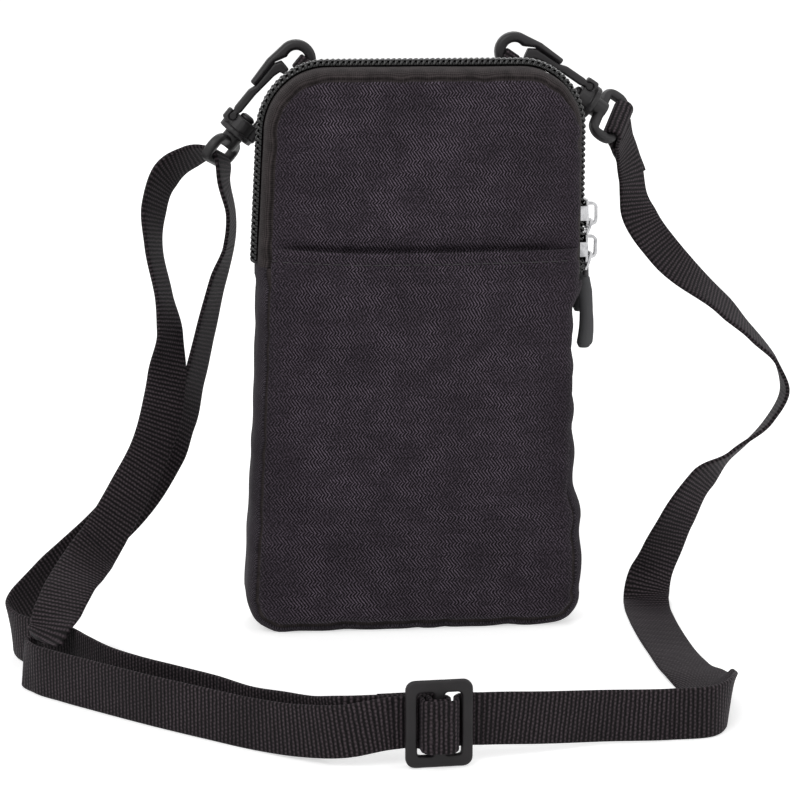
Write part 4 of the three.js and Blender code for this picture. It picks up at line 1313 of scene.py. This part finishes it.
@dataclass
class Pouch:
    """The sewn body: padded front and back, pocket, gusset, linings and seam bindings."""

    outline: Outline
    puckers: float = 0.45
    hem: float = 0.7

    def build(self) -> None:
        """Build and dress the body's pieces."""
        front = Panel(Side.FRONT, self.outline, crown=3.0, slack=0.012, overhang=2.7, crease=0.8, dip=1.5)
        rear = Panel(Side.REAR, self.outline, crown=0.45, slack=0.008, gather_depth=0.4)
        for word, panel, fill in (("front", front, 0.5), ("back", rear, 0.3)):
            sew(panel, f"{word}_cushion", SHELL, f"{word}_panel", f"{word}_pad")
        self.build_pocket(front)
        for word, panel in (("front", front), ("back", rear)):
            sew(Lining(panel), f"{word}_inner_cloth", LINING, f"{word}_lining")
        self.build_gusset()
        for side in Side:
            ring = SeamBinding(self.outline, side)
            sew(ring, f"binding_{side.word}", LINING, f"seam_binding_{side.word}")

    def build_pocket(self, front: Panel) -> None:
        """Build the pocket and the stitches of its hem."""
        pocket = Pocket(front)
        sheet = sew(pocket, "pocket_cloth", SHELL, "front_pocket")
        sewn = settle(pocket.stitches("pocket_stitches", THREAD), POUCH, THREAD)

    def build_gusset(self) -> None:
        """Build the gusset round the sides and base, its lining and the edges turned in at its seams."""
        outline = self.outline
        run = (outline, outline.zip_length + outline.gap, outline.length - outline.gap)
        loose = {"puckers": self.puckers, "hem": self.hem}
        cloth = Band(*run, -CLOTH_EDGE, CLOTH_EDGE, **loose)
        # The gusset's cloth is painted lighter for the shade on the pouch's sides
        sew(cloth, "gusset_cloth", SIDE_CLOTH_PAINTED_LIGHTER, "lower_gusset")
        inner = Band(*run, -9.6, 9.6, outer=1.5, thickness=0.6, ripples=0.1, gather_depth=0.0)
        sew(inner, "gusset_inner_cloth", LINING, "gusset_lining")
        for side in Side:
            turned = Band(*run, *side.depths(*TURNING), outer=0.5, thickness=1.5, **loose)
            sew(turned, f"gusset_turning_{side.word}", TAPE)


@dataclass
class Zip:
    """The zip over the top: two tapes, the coil's teeth, and two sliders with pulls."""

    outline: Outline
    nodes: dict[str, Piece]
    pitch: float = 1.8
    ends: float = 0.6
    tape_gap: float = 0.9
    tape_ripples: float = 0.18
    tucked: float = 1.0
    core_ends: float = 0.3
    core: Flat = (0.95, 2.2)
    tooth_depth: float = 1.25
    tooth_out: float = 0.62
    post_heights: Flat = (123.35, 129.15)
    parted_by: float = 0.65
    parted_length: float = 3.0
    grip_leans: tuple[tuple[str, float], ...] = (("lower", 1.75), ("upper", 2.05))
    grip_bend: float = 0.8

    def build(self) -> None:
        """Build and dress the zip's pieces."""
        outline, length = self.outline, self.outline.zip_length
        for side in Side:
            depths = side.depths(self.tape_gap, CLOTH_EDGE)
            run = (outline, -self.tucked, length + self.tucked)
            tape = Band(*run, *depths, thickness=0.9, ripples=self.tape_ripples)
            sew(tape, f"tape_{side.word}", TAPE, f"zip_tape_{side.word}")
            edge = {"outer": 0.5, "thickness": 1.5, "ripples": self.tape_ripples}
            turned = Band(outline, 0.0, length, *side.depths(*TURNING), **edge)
            sew(turned, f"tape_turning_{side.word}", TAPE)
        for side in Side:
            settle(self.teeth(side, f"coil_{side.word}"), POUCH, COIL, f"zip_coil_{side.word}")
            run = (outline, self.core_ends, length - self.core_ends)
            core = Band(*run, *side.depths(*self.core), -1.25, 1.3, ripples=0.0, gather_depth=0.0)
            sew(core, f"coil_core_{side.word}", COIL)
        for which, lean in self.grip_leans:
            self.slider(which, lean)

    def parted(self, place: np.ndarray) -> np.ndarray:
        """Give how far the chain is pushed aside by the sliders' posts at each place."""
        push = np.zeros(len(place))
        for height in self.post_heights:
            away = np.abs(place[:, 1] - height) / self.parted_length
            push = np.maximum(push, ramp(away, 1.5, 0.5))
        return self.parted_by * push * (place[:, 2] > 0.99)

    def teeth(self, side: Side, name: str) -> Piece:
        """Make one half of the chain: slanted teeth, one behind the other."""
        arc = np.arange(self.ends, self.outline.zip_length - self.ends, self.pitch)
        if side is Side.REAR:
            arc = arc + self.pitch / 2
        place = self.outline.at(arc)
        x, z, nx, nz = place.T
        y = side.value * (self.tooth_depth + self.parted(place))
        flat = np.zeros(len(arc))
        middles = np.column_stack([x + self.tooth_out * nx, y, z + self.tooth_out * nz])
        rods = PartRow(
            length=side.value * -1.7,
            radius=0.6,
            rise=1.9,
            slant=1.3,
            lift=0.9,
            bow=side.value * 0.8,
            sides=8,
            bends=6,
        )
        along, outward = np.column_stack([nz, flat, -nx]), np.column_stack([nx, flat, nz])
        return rods.build(name, middles, along, outward, COIL)

    def slider(self, which: str, lean: float) -> None:
        """Round off a slider and its pull.

        Args:
            which: The slider's word.
            lean: How far its grip hangs in, in millimetres.
        """
        body = f"zip_slider_{which}"
        runner = rounded_copy(self.nodes[body], f"runner_{which}", ZINC, 0.11, 3)
        settle(runner, body, ZINC, body)
        parts = {"link": (ZINC, 0.1, 3), "cord": (STRAP_THREAD, 0.12, 4), "grip": (RUBBER, 0.2, 10)}
        pieces: dict[str, Piece] = {}
        for word, looks in parts.items():
            node = self.nodes[f"zip_{word}_{which}"]
            pieces[word] = rounded_copy(node, f"pull_{word}_{which}", *looks)
        self.lean(pieces, lean)
        for word, piece in pieces.items():
            settle(piece, f"zip_pull_{which}", parts[word][0], f"zip_{word}_{which}")

    def lean(self, pieces: dict[str, Piece], lean: float) -> None:
        """Let a pull slant in towards the pouch as it hangs, with a slight bend in its grip.

        Args:
            pieces: The pull's link, cord and grip.
            lean: How far the grip hangs in, in millimetres.
        """
        spots: dict[str, np.ndarray] = {}
        for word, piece in pieces.items():
            flat = np.empty(3 * len(piece.data.vertices))
            piece.data.vertices.foreach_get("co", flat)
            spots[word] = flat.reshape(-1, 3) / MM
        top, neck, foot = spots["link"][:, 2].max(), spots["grip"][:, 2].max(), spots["grip"][:, 2].min()
        for word, piece in pieces.items():
            level = spots[word][:, 2]
            bent = self.grip_bend * np.sin(math.pi * ramp(level, neck, foot) ** 1.6)
            spots[word][:, 0] += bent - lean * ease(level, top, neck)
            piece.data.vertices.foreach_set("co", (spots[word] * MM).ravel())
            piece.data.update()


# The strap

TAB_LOOP = (
    *((15.9, -3.45), (11.0, -3.45), (6.8, -3.45), (3.4, -3.45), (1.65, -3.0), (0.95, -1.6), (0.85, 0.0)),
    *((0.95, 1.6), (1.65, 3.0), (3.2, 3.45), (5.4, 3.4), (6.8, 2.7), (7.3, 1.2), (7.25, -0.6), (7.0, -2.1)),
)
FAR_FOLD = (
    *((-16.25, 3.66), (-10.0, 3.66), (-5.6, 3.5), (-3.4, 2.4), (-2.5, 0.9), (-2.45, -0.9), (-1.5, -2.0)),
    *((0.0, -2.1), (1.5, -2.0), (2.45, -0.9), (2.4, 0.9), (1.4, 2.0), (-0.4, 3.0), (-2.6, 4.4)),
    *((-5.6, 4.95), (-10.0, 4.97), (-16.25, 4.97)),
)
OVER_BAR = ((12.25, 2.05), (5.65, 2.05), (4.65, 0.82), (4.55, -2.01), (3.25, -3.65))


@dataclass
class Route:
    """A ribbon's path: rows of a centre and the direction across the ribbon, joined by a smooth curve."""

    rows: Sequence[Row]
    width: float = 15.0
    thickness: float = 1.3
    step: float = 1.4
    centre: np.ndarray = field(init=False)
    along: np.ndarray = field(init=False)
    across: np.ndarray = field(init=False)
    face: np.ndarray = field(init=False)
    arc: np.ndarray = field(init=False)
    marks: list[int] = field(init=False)

    def __post_init__(self) -> None:
        """Sample the curve through the rows."""
        table = np.array(self.rows, dtype=float)
        knots, wide = table[:, :3], unit(table[:, 3:])
        spans = np.linalg.norm(np.diff(knots, axis=0), axis=1)
        slopes = np.gradient(knots, np.concatenate([[0], np.cumsum(spans)]), axis=0)
        centre, across, self.marks = [], [], [0]
        for i, span in enumerate(spans):
            count = max(2, round(span / self.step))
            t = np.linspace(0, 1, count, endpoint=False)[:, None]
            leave, arrive = span * slopes[i], span * slopes[i + 1]
            curve = (2 * t**3 - 3 * t**2 + 1) * knots[i] + (t**3 - 2 * t**2 + t) * leave
            centre.append(curve + (3 * t**2 - 2 * t**3) * knots[i + 1] + (t**3 - t**2) * arrive)
            turned = ease(t, 0, 1)
            across.append((1 - turned) * wide[i] + turned * wide[i + 1])
            self.marks.append(self.marks[-1] + count)
        self.centre = np.vstack([*centre, knots[-1:]])
        self.along = unit(np.gradient(self.centre, axis=0))
        wide = np.vstack([*across, wide[-1:]])
        wide -= np.sum(wide * self.along, axis=1, keepdims=True) * self.along
        self.across = unit(wide)
        self.face = np.cross(self.along, self.across)
        steps = np.linalg.norm(np.diff(self.centre, axis=0), axis=1)
        self.arc = np.concatenate([[0], np.cumsum(steps)])

    def section(self) -> np.ndarray:
        """Give the ribbon's cross-section: a flat weave with rounded edges."""
        half, thick = self.width / 2, self.thickness / 2
        edge = [(half, 0.3 * thick), (half - 0.25, 0.85 * thick), (half - 0.7, thick)]
        flat = [(share * half, thick) for share in (0.6, 0.3, 0.0, -0.3, -0.6)]
        upper = edge + flat + [(-a, b) for a, b in reversed(edge)]
        return np.array(upper + [(-a, -b) for a, b in upper])

    def ribbon(self, name: str, finish: Finish, first: int = 0, last: int = -1) -> Piece:
        """Make the ribbon between two rows.

        Args:
            name: The piece's name.
            finish: Its finish.
            first: The row where it starts.
            last: The row where it ends.

        Returns:
            The object.
        """
        picked = self.between(first, last)
        section = self.section()
        sides = section[None, :, 0, None] * self.across[picked, None]
        rings = self.centre[picked, None] + sides + section[None, :, 1, None] * self.face[picked, None]
        count = rings.shape[0]
        uv = np.column_stack([np.tile(section[:, 0], count), np.repeat(self.arc[picked], len(section))])
        return solid(name, rings.reshape(-1, 3), loft_faces(count, len(section)), finish, uv)

    def between(self, first: int, last: int) -> slice:
        """Give the samples between two rows."""
        return slice(self.marks[first], self.marks[last] + 1)

    def at(self, row: int) -> tuple[float, float, float]:
        """Give a row's centre in metres."""
        return tuple(float(v) for v in self.centre[self.marks[row]] * MM)

    def stitches(self, name: str, finish: Finish, spots: np.ndarray, row: int) -> Piece:
        """Sew a ribbon with stitches on its face.

        Args:
            name: The piece's name.
            finish: The thread's finish.
            spots: A row of place across, place along from the ribbon's row, and turn in degrees per stitch.
            row: The ribbon's row that the places are counted from.

        Returns:
            The object.
        """
        mark = self.marks[row]
        along, across, out = self.along[mark], self.across[mark], self.face[mark]
        places = self.centre[mark] + spots[:, :1] * across + spots[:, 1:2] * along
        places = places + out * (self.thickness / 2 + 0.05)
        turn = np.radians(spots[:, 2:3])
        ways = np.cos(turn) * across + np.sin(turn) * along
        rods = PartRow(length=2.0, radius=0.22, rise=0.25)
        return rods.build(name, places, ways, np.tile(out, (len(spots), 1)), finish)


@dataclass(frozen=True)
class HookPlace:
    """Where a snap hook hangs: the centre of its nose, its lean and its eye's turn."""

    hand: Hand
    x: float
    z: float
    lean: float
    eye_turn: float
    y: float = 19.6
    eye_bar: float = -40.95

    def turn(self, local: np.ndarray) -> np.ndarray:
        """Turn directions from the hook's frame to the shared one."""
        lean = math.radians(self.lean)
        c, s = math.cos(lean), math.sin(lean)
        x, y, z = np.atleast_2d(local).T
        return np.column_stack([c * x + s * z, y, c * z - s * x])

    def put(self, local: np.ndarray) -> np.ndarray:
        """Move points from the hook's frame to the shared one."""
        return self.turn(local) + np.array([self.x, self.y, self.z])

    def eye(self) -> tuple[np.ndarray, np.ndarray, np.ndarray]:
        """Give the middle of the eye's bar, the bar's direction and the hook's axis."""
        turned = math.radians(self.eye_turn)
        bar = self.turn(np.array([math.cos(turned), math.sin(turned), 0.0]))[0]
        return self.put(self.eye_bar * UP)[0], bar, self.turn(UP)[0]


LEFT_HOOK = HookPlace(Hand.LEFT, -36.2, 179.0, 40, 65)
RIGHT_HOOK = HookPlace(Hand.RIGHT, 33.3, 181.0, -56, 45)


@dataclass
class SnapHook:
    """A snap hook with its gate, its swivel eye and the webbing tab that it clips to."""

    place: HookPlace
    nodes: dict[str, Piece]
    fuller: float = 0.2

    def build(self) -> None:
        """Build and dress the hook's pieces."""
        for part, voxel, passes in (("hook", 0.28, 5), ("gate", 0.22, 4), ("eye", 0.24, 5)):
            node = f"{self.place.hand.word}_{part}"
            piece = rounded_copy(self.nodes[node], f"{node}_moulding", HOOK, voxel, passes, self.fuller)
            settle(piece, node, HOOK, node)
        self.tab(f"{self.place.hand.word}_tab")

    def tab(self, node: str) -> None:
        """Build the webbing tab, a loop round the hook's nose with its tongue sewn to the back."""
        local = np.array([(-self.place.hand.value * x, y, 0.0) for x, y in TAB_LOOP])
        across = self.place.turn(UP)[0]
        route = Route([(*p, *across) for p in self.place.put(local).tolist()], width=5.0, step=0.6)
        settle(route.ribbon(f"{node}_webbing", STRAP), POUCH, STRAP, node)


@dataclass(frozen=True)
class GlidePlace:
    """Where the tri-glide stands on the strap."""

    x: float = -8.0
    y: float = -137.0
    z: float = 12.45
    yaw: float = 3.0

    def row(self, along: float, behind: float, up: float = 1.0) -> Row:
        """Give a route row beside the tri-glide: along the strap, then behind it."""
        c, s = math.cos(math.radians(self.yaw)), math.sin(math.radians(self.yaw))
        return (self.x + along * c - behind * s, self.y + along * s + behind * c, self.z, 0.0, 0.0, up)


@dataclass
class Strap:
    """The shoulder strap: one ribbon from the right hook by the tri-glide and left eye to the tri-glide."""

    nodes: dict[str, Piece]
    glide: GlidePlace = GlidePlace()
    floor_z: float = 0.8
    edge_z: float = 7.65
    bar_radius: float = 2.6
    fold_half: float = 0.9
    fold_down: float = 4.2

    def near(self, behind: float, down: float, along: float = 0.0) -> Row:
        """Give a row of the near end: behind the right eye's bar, down from it and along it."""
        middle, bar, _ = RIGHT_HOOK.eye()
        up = unit(UP - bar * bar[2])
        return (*(middle + behind * np.cross(up, bar) - down * up + along * bar), *bar)

    def round_eye(self, degrees: float) -> Row:
        """Give a row round the left eye's bar, at an angle up from its side."""
        middle, bar, axis = LEFT_HOOK.eye()
        turn = math.radians(degrees)
        out = math.cos(turn) * np.cross(bar, axis) + math.sin(turn) * axis
        return (*(middle + self.bar_radius * out), *bar)

    def upright(self, *places: tuple[float, ...], up: float = 1) -> list[Row]:
        """Give rows where the ribbon stands on its edge, on the floor or at a place's own height."""
        return [(x, y, *(height or [self.edge_z]), 0, 0, up) for x, y, *height in places]

    def right_hang(self) -> list[Row]:
        """Give the rows from the near end down to the floor."""
        return [
            self.near(-self.fold_half, self.fold_down),
            self.near(-0.8, 9, -0.6),
            (72.9, 24.6, 140.2, 0.5, 0.7, 0.5),
            (73.7, 23.4, 133.4, 0.54, 0.73, 0.4),
            (75.5, 21, 127, 0.66, 0.62, 0.39),
            (82.4, 17.6, 116.8, 0.61, 0.65, 0.42),
            (102.5, 16, 98.5, 0.45, 0.88, 0.12),
            (112, 15, 89, 0.31, 0.95, 0),
            (120.5, 14.5, 79.5, 0.2, 0.97, -0.1),
            (123.5, 14, 70, 0.1, 0.98, -0.15),
            (118.5, 13.5, 60, 0.1, 0.97, -0.2),
            (106, 13, 49, 0.2, 0.92, -0.33),
            (96.3, 13, 40.5, 0.52, 0.65, -0.55),
            (88, 12.5, 27, 0.73, 0.48, -0.48),
            (83, 13.5, 15.5, 0.86, 0.3, -0.33),
            (79.5, 13, 7.5, 0.95, 0.15, 0),
        ]

    def front_run(self) -> list[Row]:
        """Give the rows over the floor, through the tri-glide and to the left."""
        return [
            (77.8, 9.5, 2.6, 0.98, 0.05, 0.2),
            (76.6, 2, 1, 0.99, 0.02, 0),
            (75.6, -10, self.floor_z, 0.99, 0, 0),
            (75, -25, self.floor_z, 0.99, -0.1, 0),
            (75, -45, self.floor_z, 0.99, -0.14, 0),
            (75.4, -65, 1.6, 0.98, -0.08, 0.1),
            (77, -84, 3.4, 0.92, 0.05, 0.36),
            (77.8, -101, 6.4, 0.6, 0.05, 0.8),
            (77, -114, self.edge_z, 0.1, 0, 1),
            *self.upright((72, -120.4), (59, -122.4), (40, -124.5, 8.6), (22, -130, 10.6)),
            *(self.glide.row(along, behind) for along, behind in OVER_BAR),
            self.glide.row(0, -3.75),
            *(self.glide.row(-along, behind) for along, behind in reversed(OVER_BAR)),
            *self.upright((-33, -135.6, 10.6), (-45, -128.5, 8.6), (-57, -119.4), (-70, -109.3)),
            *self.upright((-85, -97), (-101, -82.8), (-112, -72.6), (-120, -64)),
            (-122.8, -57.5, 7.9, 0.1, 0, 0.99),
            (-120.4, -53, 9.4, 0.4, 0, 0.9),
            (-116.2, -50, 14.6, 0.8, 0.1, 0.55),
        ]

    def left_loop(self) -> list[Row]:
        """Give the rows up to the left eye, round its bar and down again."""
        return [
            (-112.8, -44, 20, 0.95, 0.15, 0.2),
            (-109.8, -37, 24.5, 0.97, 0.2, 0.05),
            (-105.6, -28, 28.4, 0.95, 0.2, -0.2),
            (-101.2, -19.5, 32.5, 0.8, 0.32, -0.48),
            (-92, -11, 46.2, 0.75, 0.36, -0.55),
            (-84.7, -5, 58.9, 0.81, 0.49, -0.3),
            (-80.8, -1, 70, 0.86, 0.48, -0.17),
            (-79, 3, 80, 0.8, 0.58, -0.13),
            (-77.6, 7.5, 94, 0.51, 0.84, -0.17),
            (-79.5, 11, 106.5, 0.33, 0.93, -0.14),
            (-82.2, 14, 120.4, 0.34, 0.91, -0.25),
            (-81.9, 16.5, 132.5, 0.43, 0.77, -0.47),
            (-78.2, 19.4, 142.4, 0.35, 0.7, -0.6),
            (-71, 21.6, 147.8, 0.26, 0.82, -0.5),
            *(self.round_eye(degrees) for degrees in (135, 90, 45)),
            (-59.6, 17.6, 141, 0.25, 0.94, -0.2),
            (-57.6, 18.6, 131, 0.17, 0.96, -0.12),
            (-58.2, 20, 120, 0.2, 0.95, -0.15),
            (-62, 19.2, 108.5, 0.33, 0.92, -0.18),
            (-66.2, 17.8, 92.5, 0.4, 0.9, -0.18),
            (-70, 15, 78, 0.44, 0.88, -0.18),
            (-74.6, 11.5, 64.5, 0.63, 0.75, -0.22),
            (-79.5, 8, 55, 0.78, 0.53, -0.33),
            (-92, 0, 40, 0.84, 0.2, -0.5),
            (-104, -6, 29.5, 0.78, 0.3, -0.55),
            (-114, -11, 22.5, 0.68, 0.42, -0.6),
            (-121.5, -15.5, 16.5, 0.5, 0.45, -0.74),
            (-127, -20.5, 11.5, 0.25, 0.3, -0.92),
        ]

    def rear_run(self) -> list[Row]:
        """Give the rows over the floor back to the tri-glide."""
        return [
            (-128.2, -23.8, 9.6, 0.15, 0.2, -0.97),
            (-127.2, -29.4, 8, 0.05, 0.05, -1),
            *self.upright((-122.8, -36.5), (-116.5, -41.5), (-110, -47.6), (-104, -58), up=-1),
            *self.upright((-97.3, -69), (-89, -78.4), (-78.5, -88), (-67, -98.5), up=-1),
            *self.upright((-57, -109.5), (-48.5, -118, 8.8), (-40, -126.4, 10), up=-1),
            self.glide.row(-23.75, 4.6, -1),
            self.glide.row(-16.4, 4.3, -1),
        ]

    def build(self) -> None:
        """Build the strap's pieces."""
        right, front, left, rear = self.right_hang(), self.front_run(), self.left_loop(), self.rear_run()
        route = Route(right + front + left + rear)
        floor = len(right)
        loop = floor + len(front)
        back = loop + len(left)
        near_end = self.fold_near_end()
        # Each stretch starts at the row where the one before it ends, and runs from one body to another;
        # one between two bodies stays unattached
        stretches = (
            ("right_top", 5, "right_eye", "right_hook"),
            ("right_upper", 9, "right_hook", "pouch", "strap_right_hang"),
            ("right_main", floor + 10, "pouch", "pouch", "strap_front_run"),
            ("into_glide", floor + 13, "pouch", "strap_glide"),
            ("through_glide", floor + 23, "strap_glide", "strap_glide"),
            ("out_of_glide", floor + 28, "strap_glide", "pouch"),
            ("left_main", loop + 3, "pouch", "pouch", "strap_left_loop"),
            ("left_rise", loop + 11, "pouch", "left_hook"),
            ("left_top", loop + 14, "left_hook", "left_eye"),
            ("round_eye", loop + 16, "left_eye", "left_eye"),
            ("left_under", loop + 19, "left_eye", "left_hook"),
            ("left_fall", loop + 25, "left_hook", "pouch"),
            ("rear_main", back + 9, "pouch", "pouch", "strap_rear_run"),
            ("rear_end", back + 14, "pouch", "strap_glide"),
        )
        first = 0
        rows: dict[str, tuple[int, int]] = {}
        for word, last, before, after, *nodes in stretches:
            piece = route.ribbon(f"strap_{word}", STRAP, first, last)
            if before == after:
                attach(piece, before)
            else:
                route.at(first)
                route.at(last)
                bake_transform(piece)
            stand_for(piece, STRAP, *nodes)
            rows[word] = (first, last)
            first = last
        far_end = [self.fold_far_end(), self.tri_glide()]
        cords = {
            "right_main": ("right_top", "right_upper", "into_glide", "through_glide", "out_of_glide"),
            "left_main": ("left_rise", "left_top", "round_eye"),
            "rear_main": ("left_under", "left_fall", "rear_end"),
        }
        for word, others in cords.items():
            self.declare(route, rows[word])

    def declare(self, route: Route, rows: tuple[int, int]) -> None:
        """Look up the samples and first centre of a free length of the strap between two rows; nothing is
        kept.
        """
        picked = route.between(*rows)
        route.at(rows[0])

    def fold_near_end(self) -> list[Piece]:
        """Build the near end, folded round the right eye's bar, with its tail sewn behind the strap."""
        turns = np.radians(np.arange(-52, 233, 16))
        rows = [
            (73.9, 26.6, 139.9, 0.5, 0.7, 0.5),
            (72.45, 26.85, 144.9, 0.45, 0.74, 0.5),
            self.near(0.6, 9, 1.2),
            self.near(0.75, 6.5, 0.4),
            self.near(self.fold_half, self.fold_down),
            *(self.near(self.bar_radius * math.cos(t), -self.bar_radius * math.sin(t)) for t in turns),
            self.near(-self.fold_half, self.fold_down),
        ]
        route = Route(rows, step=0.7)
        piece = settle(route.ribbon("strap_near_fold", STRAP), "right_eye", STRAP, "strap_near_end")
        sewn = route.stitches("near_fold_stitches", STRAP_THREAD, self.box_stitch(), 2)
        return [piece, settle(sewn, "right_eye", STRAP_THREAD)]

    def box_stitch(self, half: float = 5.2, tall: float = 7.0) -> np.ndarray:
        """Give the places and turns of a sewn box."""
        spots = []
        for x in np.arange(-half, half + 0.1, 2 * half / 4):
            spots += [(x, -tall / 2, 90.0), (x, tall / 2, 90.0)]
        for z in np.arange(-tall / 2 + 1.3, tall / 2 - 0.6, 2.2):
            spots += [(-half - 1, z, 0.0), (half + 1, z, 0.0)]
        return np.array(spots)

    def fold_far_end(self) -> Piece:
        """Build the far end, folded round the tri-glide's centre bar and sewn to itself."""
        route = Route([self.glide.row(along, behind) for along, behind in FAR_FOLD], step=0.7)
        return settle(route.ribbon("strap_far_fold", STRAP), "strap_glide", STRAP, "strap_glide_loop")

    def tri_glide(self) -> Piece:
        """Round off the tri-glide."""
        piece = rounded_copy(self.nodes["strap_glide"], "tri_glide_moulding", GLIDE, 0.22, 6)
        return settle(piece, "strap_glide", GLIDE, "strap_glide")


# The studio


@dataclass(frozen=True)
class Lamp:
    """A soft square lamp: where it is, how big and how strong."""

    name: str
    place: tuple[float, float, float]
    size: float
    power: float


@dataclass
class Stage:
    """The camera, the floor and the light."""

    eye: tuple[float, float, float] = (-0.0821, -0.7810, 0.2426)
    aim: tuple[float, float, float] = (-0.0054, -0.0028, 0.0730)
    lens: float = 113.4
    clip_end: float = 100.0
    lit: tuple[float, float, float] = (0, 0, 0.08)
    reach: float = 30.0
    glow: float = 0.55
    far_glow: float = 0.66
    glow_span: Flat = (0.5, 3.0)
    sky: float = 0.42
    lamps: tuple[Lamp, ...] = (
        Lamp("key", (-0.9, -1.2, 1.5), 1.1, 15.0),
        Lamp("fill", (1.3, -1.0, 0.8), 1.2, 5.0),
        Lamp("rim", (0.2, 1.1, 1.5), 1.0, 10.0),
    )

    def build(self) -> None:
        """Set up the camera, the world, the lamps and the floor."""
        scene = bpy.context.scene
        scene.view_settings.view_transform = "Standard"
        camera = bpy.data.cameras.new("camera")
        camera.lens = self.lens
        camera.clip_end = self.clip_end
        scene.camera = self.aimed("camera", camera, self.eye, self.aim)
        self.build_world(scene)
        for lamp in self.lamps:
            light = bpy.data.lights.new(lamp.name, "AREA")
            light.size = lamp.size
            light.energy = lamp.power
            self.aimed(lamp.name, light, lamp.place, self.lit)
        self.build_floor()

    def aimed(self, name: str, data: bpy.types.ID, place: Sequence[float], aim: Sequence[float]) -> Piece:
        """Put a camera or a lamp in the scene, pointing at a place."""
        made = bpy.data.objects.new(name, data)
        made.location = place
        made.rotation_euler = (Vector(aim) - Vector(place)).to_track_quat("-Z", "Y").to_euler()
        bpy.context.scene.collection.objects.link(made)
        return made

    def seen(self, graph: Graph) -> Socket:
        """Return 1 for rays straight from the camera, or by way of a mirror or glass."""
        path = graph.node("ShaderNodeLightPath").outputs
        most = graph.math("MAXIMUM", path["Is Camera Ray"], path["Is Glossy Ray"])
        return graph.math("MAXIMUM", most, path["Is Transmission Ray"])

    def build_world(self, scene: bpy.types.Scene) -> None:
        """Make a plain sky that looks white and lights softly."""
        world = bpy.data.worlds.new("studio")
        scene.world = world
        world.use_nodes = True
        graph = Graph(world.node_tree)
        strength = graph.span(self.seen(graph), 0, 1, self.sky, 1.0)
        graph.dress(world.node_tree.nodes["Background"], {"Color": (1, 1, 1, 1), "Strength": strength})

    def build_floor(self) -> None:
        """Make a pale floor that keeps the shadow and looks white."""
        r = self.reach
        mesh = bpy.data.meshes.new("floor")
        mesh.from_pydata([(-r, -r, 0), (r, -r, 0), (r, r, 0), (-r, r, 0)], [], [(0, 1, 2, 3)])
        material = bpy.data.materials.new("pale_floor")
        material.use_nodes = True
        graph = Graph(material.node_tree)
        away = graph.node("ShaderNodeVectorMath", {0: graph.place()}, operation="LENGTH").outputs["Value"]
        glow = graph.span(away, *self.glow_span, self.glow, self.far_glow)
        looks = {
            "Base Color": (0.86, 0.86, 0.86, 1),
            "Roughness": 0.9,
            "Specular IOR Level": 0.1,
            "Emission Color": (1, 1, 1, 1),
            "Emission Strength": graph.times(self.seen(graph), glow),
        }
        graph.dress(material.node_tree.nodes["Principled BSDF"], looks)
        mesh.materials.append(material)
        link_object("floor", mesh)


def main() -> None:
    """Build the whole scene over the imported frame."""
    logging.basicConfig(level=logging.INFO, format="%(message)s")
    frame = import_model()
    nodes = frame["nodes"]
    outline = Outline()
    Stage().build()
    Strap(nodes).build()
    Pouch(outline).build()
    Zip(outline, nodes).build()
    for place in (LEFT_HOOK, RIGHT_HOOK):
        SnapHook(place, nodes).build()


if __name__ == "__main__":
    main()
